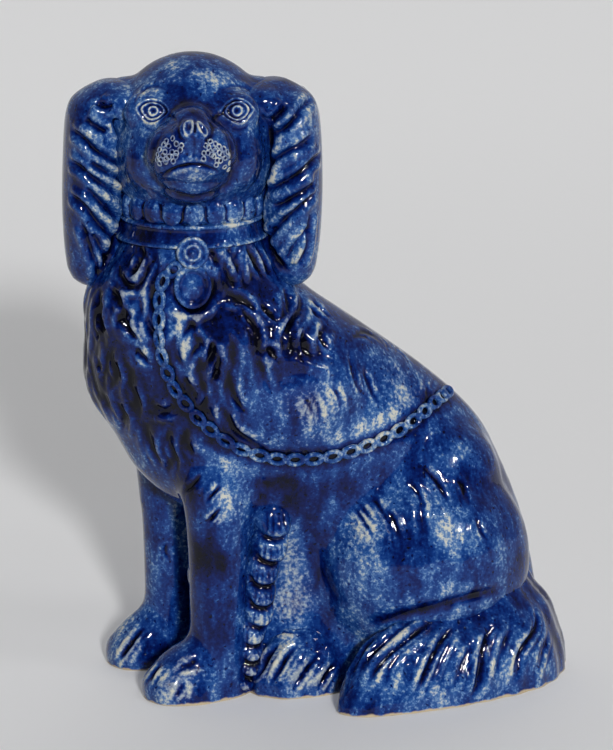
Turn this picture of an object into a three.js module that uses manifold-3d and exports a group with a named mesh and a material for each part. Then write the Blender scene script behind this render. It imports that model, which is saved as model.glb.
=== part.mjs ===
// A money bank in the form of a seated spaniel, press-moulded in stoneware and glazed blue.
// Millimetres, +Z up, standing on z = 0. The dog sits facing -X and turns its head to look along -Y.
// Each mesh is a piece that the potter makes by itself and lutes to its neighbours with slip.
// Only the cork stopper in the base stays loose, so that the coins can be taken out.
// Left and right are the dog's own.

import * as THREE from "three";
import { LoftGeometry } from "three/addons/geometries/LoftGeometry.js";
import { mergeVertices } from "three/addons/utils/BufferGeometryUtils.js";
import Module from "manifold-3d";

const wasm = await Module();
wasm.setup();

// Clay and joints
const WALL = 7; // pressed clay wall of the hollow body and head
const LUTE = 0.3; // slip joint between two luted pieces
const FAR = 400; // reach of the cutting blocks, past the whole dog

// Trunk: each section's rise above the one below it, and how far the sections reach to the chest,
// to the rump and to the sides
const PLINTH_HEIGHT = 9;
const BELLY_RISE = 25;
const LOIN_RISE = 24;
const BRISKET_RISE = 26;
const RIB_RISE = 19;
const CHEST_RISE = 20;
const SHOULDER_RISE = 23;
const WITHERS_RISE = 16;
const NECK_RISE = 19;
const NECK_LENGTH = 27;
const PLINTH_FRONT = -60;
const BELLY_FRONT = -50;
const BRISKET_FRONT = -80;
const CHEST_FRONT = -103;
const NECK_SETBACK = 13; // the neck's front behind the chest's
const RUMP_BACK = 88;
const LOIN_BACK = 78;
const RIB_BACK = 57;
const SHOULDER_BACK = 5;
const WITHERS_BACK = -17;
const NECK_BACK = -33;
const PLINTH_HALF = 36;
const BELLY_HALF = 30;
const CHEST_HALF = 38;
const NECK_HALF = 27;
const NECK_TOP_RADIUS = 22;
const NECK_SHIFT = -8; // the neck stands to the left of the body's middle
const NECK_AT = -61; // middle of the neck's top, along the body
const BACK_SWELL = 5; // the back's fullness behind the chest

// Locks of hair, in rows round the chest: each row has a reach from the middle of the chest to the side
const LOCK_LENGTH = 27;
const LOCK_WIDTH = 9;
const LOCK_RELIEF = 2.6;
const LOCK_PITCH = 14; // along a row
const LOCK_TILT = 12; // degrees, to one side and the other in turn
const LOCK_DROP = 22; // the first row's middle below the collar's
const LOCK_ROW_DROP = 18;
const LOCK_REACH = [120, 115, 75, 40]; // degrees

// Haunches
const HAUNCH_AT = [27, 22, 48]; // right one, the left is its mirror image
const HAUNCH_SIZE = [42, 32, 41];

// Forelegs and paws
const LEFT_LEG_AT = [-55, -22];
const RIGHT_LEG_AT = [-63, 25];
const LEG_RADIUS = 11.5;
const SHOULDER_RADIUS = 19;
const KNEE_SWELL = 1; // the leg's fullness at the knee
const LEG_TOP_RISE = 22; // the leg's top above the brisket
const SHOULDER_SHARE = 0.6; // the leg's top lies this much nearer the body's middle
const LEFT_PAW_FORWARD = 12; // the paw's middle ahead of the leg's
const RIGHT_PAW_FORWARD = 9;
const PAW_SIZE = [18, 15, 22];
const TOE_COUNT = 4;
const TOE_RADIUS = 6;

// Feathering on the back of the left foreleg
const CURL_COUNT = 9;
const CURL_TOP = [9.5, -2, 71]; // first and last curl, from the back of the leg's middle line
const CURL_BOTTOM = [-2.5, -4, 5];
const CURL_RADIUS = 8.5;
const CURL_TAPER = 0.55; // the lowest curl's size as a share of the highest

// Hind feet
const HIND_FOOT_BEHIND = 43; // its middle behind the plinth's front
const HIND_FOOT_INSET = 18; // its middle inside the plinth's side
const HIND_FOOT_SIZE = [27, 20, 28];
const HIND_FOOT_SPLAY = 25; // degrees outwards
const HIND_TOES = 4;
const HIND_TOE_LEAD = 5; // the toes' fan starts this far ahead of the foot's middle

// Tail, swept round the left haunch: its middle line on the ground
const TAIL_LINE = [
  [56, 6],
  [76, -12],
  [62, -37],
  [34, -47],
  [10, -52],
  [-5, -53],
];
const TAIL_HALF_WIDTH = 15;
const TAIL_HEIGHTS = [20, 27, 36, 36, 31, 25]; // at the same points
const TAIL_BLUNT_FROM = 0.9; // share of the line where the end starts to round off
const TAIL_BLUNT = 1.3; // how blunt the end is left, over 1
const TAIL_SLOPE = 0.3; // the outer side's height is lower by this share
const TAIL_FLARE = 3; // the outer side's spread on the ground

// Head, in its own frame: it looks along -Y
const HEAD_RISE = 10; // the head's middle above the top of the neck
const HEAD_TURN = -14; // degrees about +Z
const CRANIUM_SIZE = [33, 34, 36];
const CRANIUM_RISE = 1;
const CRANIUM_BACK = 2; // the skull's middle behind the head's
const BROW_AT = [0, -14, 2];
const BROW_SIZE = [28, 21, 25];
const MUZZLE_AT = [0, -32, 5];
const MUZZLE_SIZE = [17, 17, 15];
const CROWN_AT = [25, 4, 14]; // fullness between the skull and the ears
const CROWN_SIZE = [14, 18, 13];
const CHEEK_AT = [16, -20, -4];
const CHEEK_SIZE = [13, 14, 15];
const LIP_AT = [8, -38, 5];
const LIP_SIZE = [10, 12, 11];
const EYE_AT = [17.4, -27, 19];
const EYE_SIZE = [7, 5, 4];
const BRIDGE_AT = [0, -31, 15];
const BRIDGE_SIZE = [9, 14, 9];
const NOSE_AT = [0, -46, 13];
const NOSE_SIZE = [7, 5, 6];
const CHIN_AT = [0, -29, -8];
const CHIN_SIZE = [12, 13, 8];
const EAR_HALF_SPACING = 37.5;
const EAR_HALF_WIDTH = 13;
const EAR_HALF_DEPTH = 19;
const EAR_TOP = 27;
const EAR_TIP = -55;
const EAR_TIP_ROUND = 6; // how far up the tip is rounded
const EAR_CROWN = 5; // how far down the top is rounded
const EAR_TUCK = 7; // the top's middle nearer the head
const EAR_LEAN = { right: -2, left: 3 }; // how far each tip hangs inwards

// Collar, ruff, boss and locket
const COLLAR_DROP = 20; // the collar's middle below the top of the neck
const COLLAR_WIDTH = 9;
const COLLAR_PROUD = 2;
const RIM_PROUD = 3.4;
const RIM_WIDTH = 2;
const RUFF_RISE = 6.5; // the beads' middle above the collar's upper edge
const BEAD_PITCH = 7.45;
const BEAD_RADIUS = 4.8;
const BOSS_RADIUS = 6.4;
const BOSS_DROP = 6; // below the collar's middle
const LOCKET_HALF_WIDTH = 7.6;
const LOCKET_HALF_HEIGHT = 9;
const LOCKET_DROP = 19;
const BOSS_RELIEF = 5.5; // how far they stand out from the body
const LOCKET_RELIEF = 3;
const RIM_SHARE = 0.66; // the sunk middle of boss and locket as a share of the whole

// Chain: oval links pressed in one strip from the locket round the left side. Each point is a share of
// the way from the chest to the back at its height, and a drop below the collar's middle.
const CHAIN_LINE = [
  [0.277, 31],
  [0.204, 50],
  [0.193, 69],
  [0.214, 82],
  [0.299, 89],
  [0.425, 91],
  [0.569, 90],
  [0.729, 84],
  [0.866, 78],
  [0.961, 74],
];
const LINK_WIDTH = 6.8;
const LINK_WIRE = 2.2;
const LINK_PITCH = 7;
const LINK_OVERLAP = 1.8; // where two links are pressed together

// Base slab, coin hole and stopper
const FOOT_RECESS = 5; // the slab's underside above the table
const SLAB_THICKNESS = 8;
const STOPPER_AT = [20, 0];
const STOPPER_RADIUS = 17; // at the slab's underside
const STOPPER_LENGTH = 18;
const STOPPER_TAPER = 0.1; // radius lost per millimetre of length
const STOPPER_STAND = 3; // stands out below the slab

// Coin slot in the right side of the back
const SLOT_MIDDLE = -35; // along the body
const SLOT_DROP = 8; // below the shoulder
const SLOT_LENGTH = 42;
const SLOT_WIDTH = 5;

const cobaltGlaze = new THREE.MeshStandardMaterial({ color: 0x16307e, roughness: 0.2, metalness: 0 });
const paleGlaze = new THREE.MeshStandardMaterial({ color: 0x4467a8, roughness: 0.2, metalness: 0 });
const bareClay = new THREE.MeshStandardMaterial({ color: 0xb9a88c, roughness: 0.85, metalness: 0 });
const cork = new THREE.MeshStandardMaterial({ color: 0xa87a4c, roughness: 0.9, metalness: 0 });

// Solids: closed geometry in, joined or cut, and geometry out again

function solidOf(geometry) {
  const plain = new THREE.BufferGeometry();
  plain.setAttribute("position", geometry.attributes.position);
  plain.setIndex(geometry.index);
  const merged = mergeVertices(plain, 1e-4);
  return new wasm.Manifold(
    new wasm.Mesh({
      numProp: 3,
      vertProperties: new Float32Array(merged.attributes.position.array),
      triVerts: new Uint32Array(merged.index.array),
    }),
  );
}

function geometryOf(solid) {
  const mesh = solid.getMesh();
  const geometry = new THREE.BufferGeometry();
  geometry.setAttribute("position", new THREE.BufferAttribute(new Float32Array(mesh.vertProperties), 3));
  geometry.setIndex(new THREE.BufferAttribute(new Uint32Array(mesh.triVerts), 1));
  geometry.computeVertexNormals();
  return geometry;
}

const moved = (solid, matrix) => solidOf(geometryOf(solid).applyMatrix4(matrix));
const joined = (...solids) => solids.reduce((whole, next) => whole.add(next));
const cutBy = (solid, ...tools) => tools.reduce((left, tool) => left.subtract(tool), solid);
const mirrored = ([x, y, z]) => [x, -y, z];
const degrees = THREE.MathUtils.degToRad;

function block(low, high) {
  const size = high.map((value, axis) => value - low[axis]);
  const box = new THREE.BoxGeometry(...size);
  return solidOf(box.translate(...low.map((value, axis) => value + size[axis] / 2)));
}

const underTable = block([-FAR, -FAR, -FAR], [FAR, FAR, 0]);
const leftSide = block([-FAR, -FAR, -FAR], [FAR, -LUTE / 2, FAR]);
const rightSide = block([-FAR, LUTE / 2, -FAR], [FAR, FAR, FAR]);
const layer = (low, high) => block([-FAR, -FAR, low], [FAR, FAR, high]);

// A clay lump: an ellipsoid, grown all round by the clearance that a neighbour needs
function lump(at, size, { turn = 0, grow = 0, around = 10, along = 7 } = {}) {
  const ball = new THREE.SphereGeometry(1, around, along);
  ball.rotateX(Math.PI / 2);
  ball.scale(...size.map((radius) => radius + grow));
  ball.rotateZ(degrees(turn));
  return solidOf(ball.translate(...at));
}

// A stack of level ovals, smoothly joined: each section has its middle, its two radii and its height
function stack(sections, { grow = 0, sides = 32, rings = 20 } = {}) {
  const through = (points) => new THREE.CatmullRomCurve3(points, false, "catmullrom");
  const middles = through(sections.map(({ x, y, z }) => new THREE.Vector3(x, y, z)));
  const radii = through(sections.map(({ rx, ry, z }) => new THREE.Vector3(rx, ry, z)));
  const ovals = [];
  for (let ring = 0; ring <= rings; ring++) {
    const middle = middles.getPoint(ring / rings);
    const radius = radii.getPoint(ring / rings);
    const oval = [];
    for (let side = 0; side < sides; side++) {
      const angle = (side / sides) * 2 * Math.PI;
      const across = (radius.x + grow) * Math.cos(angle);
      const deep = (radius.y + grow) * Math.sin(angle);
      oval.push(new THREE.Vector3(middle.x + across, middle.y + deep, middle.z));
    }
    ovals.push(oval);
  }
  return solidOf(new LoftGeometry(ovals, { capStart: true, capEnd: true }));
}

// Trunk and haunches

const bellyHeight = PLINTH_HEIGHT + BELLY_RISE;
const loinHeight = bellyHeight + LOIN_RISE;
const brisketHeight = loinHeight + BRISKET_RISE;
const ribHeight = brisketHeight + RIB_RISE;
const chestHeight = ribHeight + CHEST_RISE;
const shoulderHeight = chestHeight + SHOULDER_RISE;
const withersHeight = shoulderHeight + WITHERS_RISE;
const neckHeight = withersHeight + NECK_RISE;
const neckTop = neckHeight + NECK_LENGTH;

// A trunk section that reaches from the chest side to the rump side
function section(z, front, back, ry, y = 0) {
  return { x: (front + back) / 2, y, z, rx: (back - front) / 2, ry };
}

function trunk(grow, { openEnds = 0, sides = 36, rings = 22 } = {}) {
  const sections = [
    section(-PLINTH_HEIGHT - openEnds, PLINTH_FRONT, RUMP_BACK, PLINTH_HALF),
    section(PLINTH_HEIGHT, PLINTH_FRONT, RUMP_BACK, PLINTH_HALF),
    section(bellyHeight, BELLY_FRONT, (RUMP_BACK + LOIN_BACK) / 2, BELLY_HALF),
    section(loinHeight, BELLY_FRONT, LOIN_BACK, BELLY_HALF),
    section(brisketHeight, BRISKET_FRONT, (LOIN_BACK + RIB_BACK) / 2, (BELLY_HALF + CHEST_HALF) / 2),
    section(ribHeight, (BRISKET_FRONT + CHEST_FRONT) / 2, RIB_BACK, CHEST_HALF),
    section(chestHeight, CHEST_FRONT, (RIB_BACK + SHOULDER_BACK) / 2 + BACK_SWELL, CHEST_HALF),
    section(shoulderHeight, CHEST_FRONT, SHOULDER_BACK, CHEST_HALF, NECK_SHIFT / 2),
    section(withersHeight, CHEST_FRONT, WITHERS_BACK, (CHEST_HALF + NECK_HALF) / 2, NECK_SHIFT / 2),
    section(neckHeight, CHEST_FRONT + NECK_SETBACK, NECK_BACK, NECK_HALF, NECK_SHIFT),
    section(
      neckTop + openEnds,
      NECK_AT - NECK_TOP_RADIUS,
      NECK_AT + NECK_TOP_RADIUS,
      NECK_TOP_RADIUS,
      NECK_SHIFT,
    ),
  ];
  return stack(sections, { grow, sides, rings });
}

function haunches(grow, around, along) {
  const left = lump(mirrored(HAUNCH_AT), HAUNCH_SIZE, { grow, around, along });
  const right = lump(HAUNCH_AT, HAUNCH_SIZE, { grow, around, along });
  return joined(left, right);
}

const bodyOutside = (grow) => joined(trunk(grow), haunches(grow, 24, 14));
const chamber = (shrink) =>
  joined(trunk(-shrink, { openEnds: WALL, sides: 24, rings: 16 }), haunches(-shrink, 16, 10));
const bodyClearance = bodyOutside(LUTE);

const slotHeight = shoulderHeight - SLOT_DROP;
const coinSlot = block(
  [SLOT_MIDDLE - SLOT_LENGTH / 2, 0, slotHeight - SLOT_WIDTH / 2],
  [SLOT_MIDDLE + SLOT_LENGTH / 2, FAR, slotHeight + SLOT_WIDTH / 2],
);
const hollowBody = cutBy(bodyOutside(0), chamber(WALL), underTable, coinSlot);

// Where the body's surface lies, seen straight from its left side, and which way it faces there
const bodySurface = new THREE.Mesh(
  geometryOf(bodyOutside(0)),
  new THREE.MeshBasicMaterial({ side: THREE.DoubleSide }),
);

function surfaceFrom(origin, direction) {
  const hit = new THREE.Raycaster(origin, direction.normalize()).intersectObject(bodySurface)[0];
  return { at: hit.point, out: hit.face.normal.clone() };
}

// Base slab with its tapered hole, and the cork that fills the hole

function plug(low, length, clearance) {
  const radiusAt = (z) => STOPPER_RADIUS - STOPPER_TAPER * (z - FOOT_RECESS) + clearance;
  const cone = new THREE.CylinderGeometry(radiusAt(low + length), radiusAt(low), length, 32);
  cone.rotateX(Math.PI / 2);
  return solidOf(cone.translate(STOPPER_AT[0], STOPPER_AT[1], low + length / 2));
}

const slabTop = FOOT_RECESS + SLAB_THICKNESS;
const baseSlab = cutBy(
  chamber(WALL + LUTE).intersect(layer(FOOT_RECESS, slabTop)),
  plug(0, slabTop + WALL, LUTE),
);
const stopper = plug(FOOT_RECESS - STOPPER_STAND, STOPPER_LENGTH, 0);

// Forelegs: a leg that widens into the shoulder, with a paw and its toes

function forelegOutside([x, y], pawForward, grow) {
  const legTop = brisketHeight + LEG_TOP_RISE;
  const kneeToShoulder = (LEG_RADIUS + SHOULDER_RADIUS) / 2;
  const leg = stack(
    [
      { x, y, z: -LEG_RADIUS, rx: LEG_RADIUS, ry: LEG_RADIUS },
      { x, y, z: LEG_RADIUS, rx: LEG_RADIUS, ry: LEG_RADIUS },
      { x, y, z: loinHeight, rx: LEG_RADIUS + KNEE_SWELL, ry: LEG_RADIUS },
      { x, y, z: brisketHeight, rx: kneeToShoulder, ry: LEG_RADIUS + KNEE_SWELL },
      { x, y: y * SHOULDER_SHARE, z: legTop, rx: SHOULDER_RADIUS, ry: LEG_RADIUS },
    ],
    { grow, sides: 18, rings: 10 },
  );
  const pawX = x - pawForward;
  const paw = lump([pawX, y, 0], PAW_SIZE, { grow, around: 16, along: 10 });
  const toes = [];
  for (let toe = 0; toe < TOE_COUNT; toe++) {
    const across = ((toe + 0.5) / TOE_COUNT - 0.5) * 2 * (PAW_SIZE[1] - TOE_RADIUS / 2);
    const ahead = PAW_SIZE[0] * Math.sqrt(1 - (across / PAW_SIZE[1]) ** 2) - TOE_RADIUS;
    const size = [TOE_RADIUS * 1.4, TOE_RADIUS, TOE_RADIUS * 1.3];
    toes.push(lump([pawX - ahead, y + across, TOE_RADIUS * 0.7], size, { grow }));
  }
  return joined(leg, paw, ...toes);
}

const leftLeg = cutBy(forelegOutside(LEFT_LEG_AT, LEFT_PAW_FORWARD, 0), bodyClearance, underTable);
const rightLeg = cutBy(forelegOutside(RIGHT_LEG_AT, RIGHT_PAW_FORWARD, 0), bodyClearance, underTable);
const leftLegClearance = forelegOutside(LEFT_LEG_AT, LEFT_PAW_FORWARD, LUTE);
const rightLegClearance = forelegOutside(RIGHT_LEG_AT, RIGHT_PAW_FORWARD, LUTE);

// Feathering: a row of curls that shrink towards the paw, each pressed into the next

function feathering() {
  const radii = [];
  for (let curl = 0; curl < CURL_COUNT; curl++) {
    radii.push(CURL_RADIUS * (1 - (curl / (CURL_COUNT - 1)) * (1 - CURL_TAPER)));
  }
  const steps = radii.slice(1).map((radius, curl) => radius + radii[curl]);
  const whole = steps.reduce((sum, step) => sum + step, 0);
  const legBack = new THREE.Vector3(LEFT_LEG_AT[0] + LEG_RADIUS, LEFT_LEG_AT[1], 0);
  const top = new THREE.Vector3(...CURL_TOP).add(legBack);
  const bottom = new THREE.Vector3(...CURL_BOTTOM).add(legBack);
  let done = 0;
  const curls = radii.map((radius, curl) => {
    const at = top.clone().lerp(bottom, done / whole);
    done += steps[curl] ?? 0;
    return lump(at.toArray(), [radius, radius, radius * 0.8], { around: 8, along: 6 });
  });
  return cutBy(joined(...curls), bodyClearance, leftLegClearance, underTable);
}

// Hind feet: a low mound with toes, splayed outwards

function hindFootOutside(side, grow) {
  const x = PLINTH_FRONT + HIND_FOOT_BEHIND;
  const y = side * (PLINTH_HALF - HIND_FOOT_INSET);
  const turn = side * -HIND_FOOT_SPLAY;
  const mound = lump([x, y, 0], HIND_FOOT_SIZE, { turn, grow, around: 18, along: 10 });
  const toes = [];
  for (let toe = 0; toe < HIND_TOES; toe++) {
    const spread = degrees(((toe + 0.5) / HIND_TOES - 0.5) * 110 + turn + 180);
    const ahead = HIND_FOOT_SIZE[1] - TOE_RADIUS / 2;
    const fan = x - HIND_TOE_LEAD;
    const at = [fan + ahead * Math.cos(spread), y + ahead * Math.sin(spread), TOE_RADIUS * 0.6];
    toes.push(lump(at, [TOE_RADIUS * 1.4, TOE_RADIUS, TOE_RADIUS * 1.4], { turn, grow }));
  }
  return joined(mound, ...toes);
}

// Tail: upright sections under a ridge line, lower and flared on the outer side, with a blunt rounded end

function tailOutside(grow) {
  const ridge = TAIL_LINE.map(([x, y], point) => new THREE.Vector3(x, y, TAIL_HEIGHTS[point]));
  const line = new THREE.CatmullRomCurve3(ridge);
  const up = new THREE.Vector3(0, 0, 1);
  const rings = 16;
  const sides = 16;
  const sections = [];
  for (let ring = 0; ring <= rings; ring++) {
    const share = ring / rings;
    const middle = line.getPointAt(share);
    const across = up.clone().cross(line.getTangentAt(share)).normalize();
    const pastBlunt = Math.max(0, share - TAIL_BLUNT_FROM) / (1 - TAIL_BLUNT_FROM) / TAIL_BLUNT;
    const roundOff = Math.sqrt(1 - pastBlunt ** 2);
    const wide = TAIL_HALF_WIDTH * roundOff + grow;
    const high = middle.z * roundOff + grow;
    middle.z = 0;
    const oval = [];
    for (let side = 0; side < sides; side++) {
      const angle = (side / sides) * 2 * Math.PI;
      const outwards = Math.max(0, Math.cos(angle));
      const reach = wide * Math.cos(angle) + TAIL_FLARE * roundOff * outwards ** 2;
      const rise = high * Math.sin(angle) * (1 - TAIL_SLOPE * outwards);
      oval.push(middle.clone().addScaledVector(across, reach).addScaledVector(up, rise));
    }
    sections.push(oval);
  }
  return solidOf(new LoftGeometry(sections, { capStart: true, capEnd: true }));
}

const tail = cutBy(tailOutside(0), bodyClearance, underTable);
const tailClearance = tailOutside(LUTE);
const leftHindFoot = cutBy(
  hindFootOutside(-1, 0),
  bodyClearance,
  leftLegClearance,
  tailClearance,
  underTable,
);
const rightHindFoot = cutBy(hindFootOutside(1, 0), bodyClearance, rightLegClearance, underTable);
const leftHindClearance = hindFootOutside(-1, LUTE);
const feather = cutBy(feathering(), leftHindClearance);

// Collar band with a rim at each edge, and the ruff of beads above it

const neckClearance = trunk(LUTE);
const collarHeight = neckTop - COLLAR_DROP;
const collarLow = collarHeight - COLLAR_WIDTH / 2;
const collarHigh = collarHeight + COLLAR_WIDTH / 2;
const ruffHeight = collarHigh + RUFF_RISE;

// A band round the neck between two heights
function neckBand(proud, low, high) {
  return trunk(proud, { sides: 24 }).intersect(layer(low, high));
}

function collarOutside(grow) {
  return joined(
    neckBand(COLLAR_PROUD + grow, collarLow - grow, collarHigh + grow),
    neckBand(RIM_PROUD + grow, collarLow - grow, collarLow + RIM_WIDTH + grow),
    neckBand(RIM_PROUD + grow, collarHigh - RIM_WIDTH - grow, collarHigh + grow),
  );
}

const collarClearance = collarOutside(LUTE);

// The trunk's middle and radii at a height
function trunkAt(z) {
  const { min, max } = neckBand(0, z - LUTE, z + LUTE).boundingBox();
  return {
    x: (min[0] + max[0]) / 2,
    y: (min[1] + max[1]) / 2,
    rx: (max[0] - min[0]) / 2,
    ry: (max[1] - min[1]) / 2,
  };
}

const ruffLine = trunkAt(ruffHeight);

function beads() {
  const round = 2 * Math.PI * Math.hypot(ruffLine.rx, ruffLine.ry) * Math.SQRT1_2;
  const count = Math.round(round / BEAD_PITCH);
  const row = [];
  for (let bead = 0; bead < count; bead++) {
    const angle = (bead / count) * 2 * Math.PI;
    const at = [
      ruffLine.x + ruffLine.rx * Math.cos(angle),
      ruffLine.y + ruffLine.ry * Math.sin(angle),
      ruffHeight,
    ];
    row.push(lump(at, Array(3).fill(BEAD_RADIUS), { around: 8, along: 5 }));
  }
  return joined(...row);
}

function beadRing(grow) {
  const ring = new THREE.TorusGeometry(1, (BEAD_RADIUS + grow) / ruffLine.rx, 10, 30);
  ring.scale(ruffLine.rx, ruffLine.ry, ruffLine.rx);
  return solidOf(ring.translate(ruffLine.x, ruffLine.y, ruffHeight));
}

const ruff = cutBy(beads(), neckClearance, collarClearance);
const ruffClearance = beadRing(3 * LUTE);

// Boss, locket and chain, pressed on to the front of the neck and the left side

const upwards = new THREE.Vector3(0, 0, 1);
const lookDirection = new THREE.Vector3(0, -1, 0).applyAxisAngle(upwards, degrees(HEAD_TURN));

// The body's surface below the chin
function belowChin(height) {
  const from = new THREE.Vector3(NECK_AT, NECK_SHIFT, height).addScaledVector(lookDirection, FAR);
  return surfaceFrom(from, lookDirection.clone().negate());
}

// A round plate with a sunk middle, set on the body below the chin
function medallion(height, halfWidth, halfHeight, relief, grow) {
  const { at, out } = belowChin(height);
  const facing = new THREE.Matrix4().lookAt(out, new THREE.Vector3(), upwards);
  const place = new THREE.Matrix4().makeTranslation(at).multiply(facing);
  const disc = (share, low, high) => {
    const plate = new THREE.CylinderGeometry(1, 1, high - low, 20);
    plate.rotateX(Math.PI / 2);
    plate.scale(halfWidth * share + grow, halfHeight * share + grow, 1);
    return solidOf(plate.translate(0, 0, (low + high) / 2).applyMatrix4(place));
  };
  const plate = disc(1, -3 * relief, relief + grow);
  return grow > 0 ? plate : plate.subtract(disc(RIM_SHARE, relief * 0.7, 2 * relief));
}

const bossOutside = (grow) =>
  medallion(collarHeight - BOSS_DROP, BOSS_RADIUS, BOSS_RADIUS, BOSS_RELIEF, grow);
const locketOutside = (grow) =>
  medallion(collarHeight - LOCKET_DROP, LOCKET_HALF_WIDTH, LOCKET_HALF_HEIGHT, LOCKET_RELIEF, grow);
const bossClearance = bossOutside(LUTE);
const locketClearance = locketOutside(LUTE);
const boss = cutBy(bossOutside(0), bodyClearance);
const locket = cutBy(locketOutside(0), bodyClearance, bossClearance);
const collar = cutBy(collarOutside(0), neckClearance, bossClearance);

const fromLeft = (x, z) => surfaceFrom(new THREE.Vector3(x, -FAR, z), new THREE.Vector3(0, 1, 0));

// Which way the body faces over a link's length
function facingAlong(line, share, reach) {
  const out = new THREE.Vector3();
  for (const step of [-1, -0.5, 0, 0.5, 1]) {
    const near = line.getPointAt(THREE.MathUtils.clamp(share + step * reach, 0, 1));
    out.add(fromLeft(near.x, near.z).out);
  }
  return out.normalize();
}

const chainStart = belowChin(collarHeight - LOCKET_DROP).at;
const chainPoints = CHAIN_LINE.map(([share, drop]) => {
  const { x, rx } = trunkAt(collarHeight - drop);
  return fromLeft(x + (2 * share - 1) * rx, collarHeight - drop).at;
});
const chainLine = new THREE.CatmullRomCurve3([chainStart, ...chainPoints]);

function chainStrip(line) {
  const linkLength = LINK_PITCH + LINK_OVERLAP;
  const count = Math.round(line.getLength() / LINK_PITCH);
  const links = [];
  for (let link = 0; link <= count; link++) {
    const near = line.getPointAt(link / count);
    if (near.distanceTo(chainStart) < LOCKET_HALF_HEIGHT) continue;
    const { at } = fromLeft(near.x, near.z);
    const out = facingAlong(line, link / count, 0.5 / count);
    const across = out.clone().cross(line.getTangentAt(link / count)).normalize();
    const turned = new THREE.Matrix4().makeBasis(across.clone().cross(out), across, out);
    const ring = new THREE.TorusGeometry(1 - LINK_WIRE / linkLength, LINK_WIRE / linkLength, 4, 8);
    ring.scale(linkLength / 2, LINK_WIDTH / 2, linkLength / 2);
    ring.translate(0, 0, LINK_WIRE / 2);
    links.push(solidOf(ring.applyMatrix4(turned).translate(...at.toArray())));
  }
  return joined(...links);
}

const chain = cutBy(chainStrip(chainLine), bodyClearance, locketClearance, bossClearance, collarClearance);

// Head: lumps of clay in the head's own frame, hollow, and parted into a face and a back

const headAt = [NECK_AT, NECK_SHIFT, neckTop + HEAD_RISE];
const headPlace = new THREE.Matrix4()
  .makeTranslation(...headAt)
  .multiply(new THREE.Matrix4().makeRotationZ(degrees(HEAD_TURN)));
const intoHead = headPlace.clone().invert();
const inHead = (solid) => moved(solid, intoHead);

function skull(grow) {
  return joined(
    lump([0, CRANIUM_BACK, CRANIUM_RISE], CRANIUM_SIZE, { grow, around: 22, along: 14 }),
    lump(BROW_AT, BROW_SIZE, { grow, around: 16, along: 10 }),
    lump(MUZZLE_AT, MUZZLE_SIZE, { grow, around: 14, along: 9 }),
  );
}

// The same lump on both sides of the face
function pair([x, y, z], size, grow) {
  return joined(lump([-x, y, z], size, { grow }), lump([x, y, z], size, { grow }));
}

function headOutside(grow) {
  return joined(
    skull(grow),
    pair(CROWN_AT, CROWN_SIZE, grow),
    pair(CHEEK_AT, CHEEK_SIZE, grow),
    pair(LIP_AT, LIP_SIZE, grow),
    pair(EYE_AT, EYE_SIZE, grow),
    lump(BRIDGE_AT, BRIDGE_SIZE, { grow }),
    lump(NOSE_AT, NOSE_SIZE, { grow }),
    lump(CHIN_AT, CHIN_SIZE, { grow }),
  );
}

const underRuff = layer(-FAR, ruffHeight - headAt[2]);
const headTools = [skull(-WALL), underRuff, inHead(neckClearance), inHead(ruffClearance)];
const headFit = cutBy(headOutside(0), ...headTools);
const face = headFit.intersect(leftSide);
const headBack = headFit.intersect(rightSide);

function earOutside(side, lean, grow) {
  const at = (z, widthShare, depthShare, inset) => ({
    x: side * (EAR_HALF_SPACING - inset),
    y: CRANIUM_BACK,
    z,
    rx: EAR_HALF_WIDTH * widthShare,
    ry: EAR_HALF_DEPTH * depthShare,
  });
  const sections = [
    at(EAR_TIP, 0.3, 0.3, lean),
    at(EAR_TIP + EAR_TIP_ROUND, 0.75, 0.6, lean),
    at(EAR_TIP * 0.5, 0.97, 0.9, lean / 2),
    at(0, 1, 1, 0),
    at(EAR_TOP * 0.6, 1, 0.95, EAR_TUCK / 7),
    at(EAR_TOP - EAR_CROWN, 0.8, 0.7, EAR_TUCK * 0.57),
    at(EAR_TOP, 0.4, 0.35, EAR_TUCK),
  ];
  return stack(sections, { grow, sides: 18, rings: 12 });
}

const earTools = [headOutside(LUTE), ...[bodyClearance, collarClearance, ruffClearance].map(inHead)];
const rightEar = cutBy(earOutside(-1, EAR_LEAN.right, 0), ...earTools);
const leftEar = cutBy(earOutside(1, EAR_LEAN.left, 0), ...earTools);
const earClearance = moved(
  joined(earOutside(-1, EAR_LEAN.right, LUTE), earOutside(1, EAR_LEAN.left, LUTE)),
  headPlace,
);

// Locks of hair: long low lumps that hang down the chest and the shoulders, clear of what lies on them

// A round channel along a line
function channel(line, radius, steps) {
  const { normals, binormals } = line.computeFrenetFrames(steps);
  const sides = 8;
  const rings = normals.map((normal, step) => {
    const ring = [];
    for (let side = 0; side < sides; side++) {
      const angle = (side / sides) * 2 * Math.PI;
      const point = line.getPointAt(step / steps).addScaledVector(normal, radius * Math.cos(angle));
      ring.push(point.addScaledVector(binormals[step], radius * Math.sin(angle)));
    }
    return ring;
  });
  return solidOf(new LoftGeometry(rings, { capStart: true, capEnd: true }));
}

function lock({ at, out }, tilt) {
  const level = upwards.clone().cross(out).normalize();
  const rise = out.clone().cross(level).applyAxisAngle(out, degrees(tilt));
  const across = rise.clone().cross(out);
  const ball = new THREE.SphereGeometry(1, 5, 4);
  ball.scale(LOCK_WIDTH / 2, LOCK_LENGTH / 2, LOCK_RELIEF);
  ball.applyMatrix4(new THREE.Matrix4().makeBasis(across, rise, out));
  return solidOf(ball.translate(...at.toArray()));
}

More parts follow.
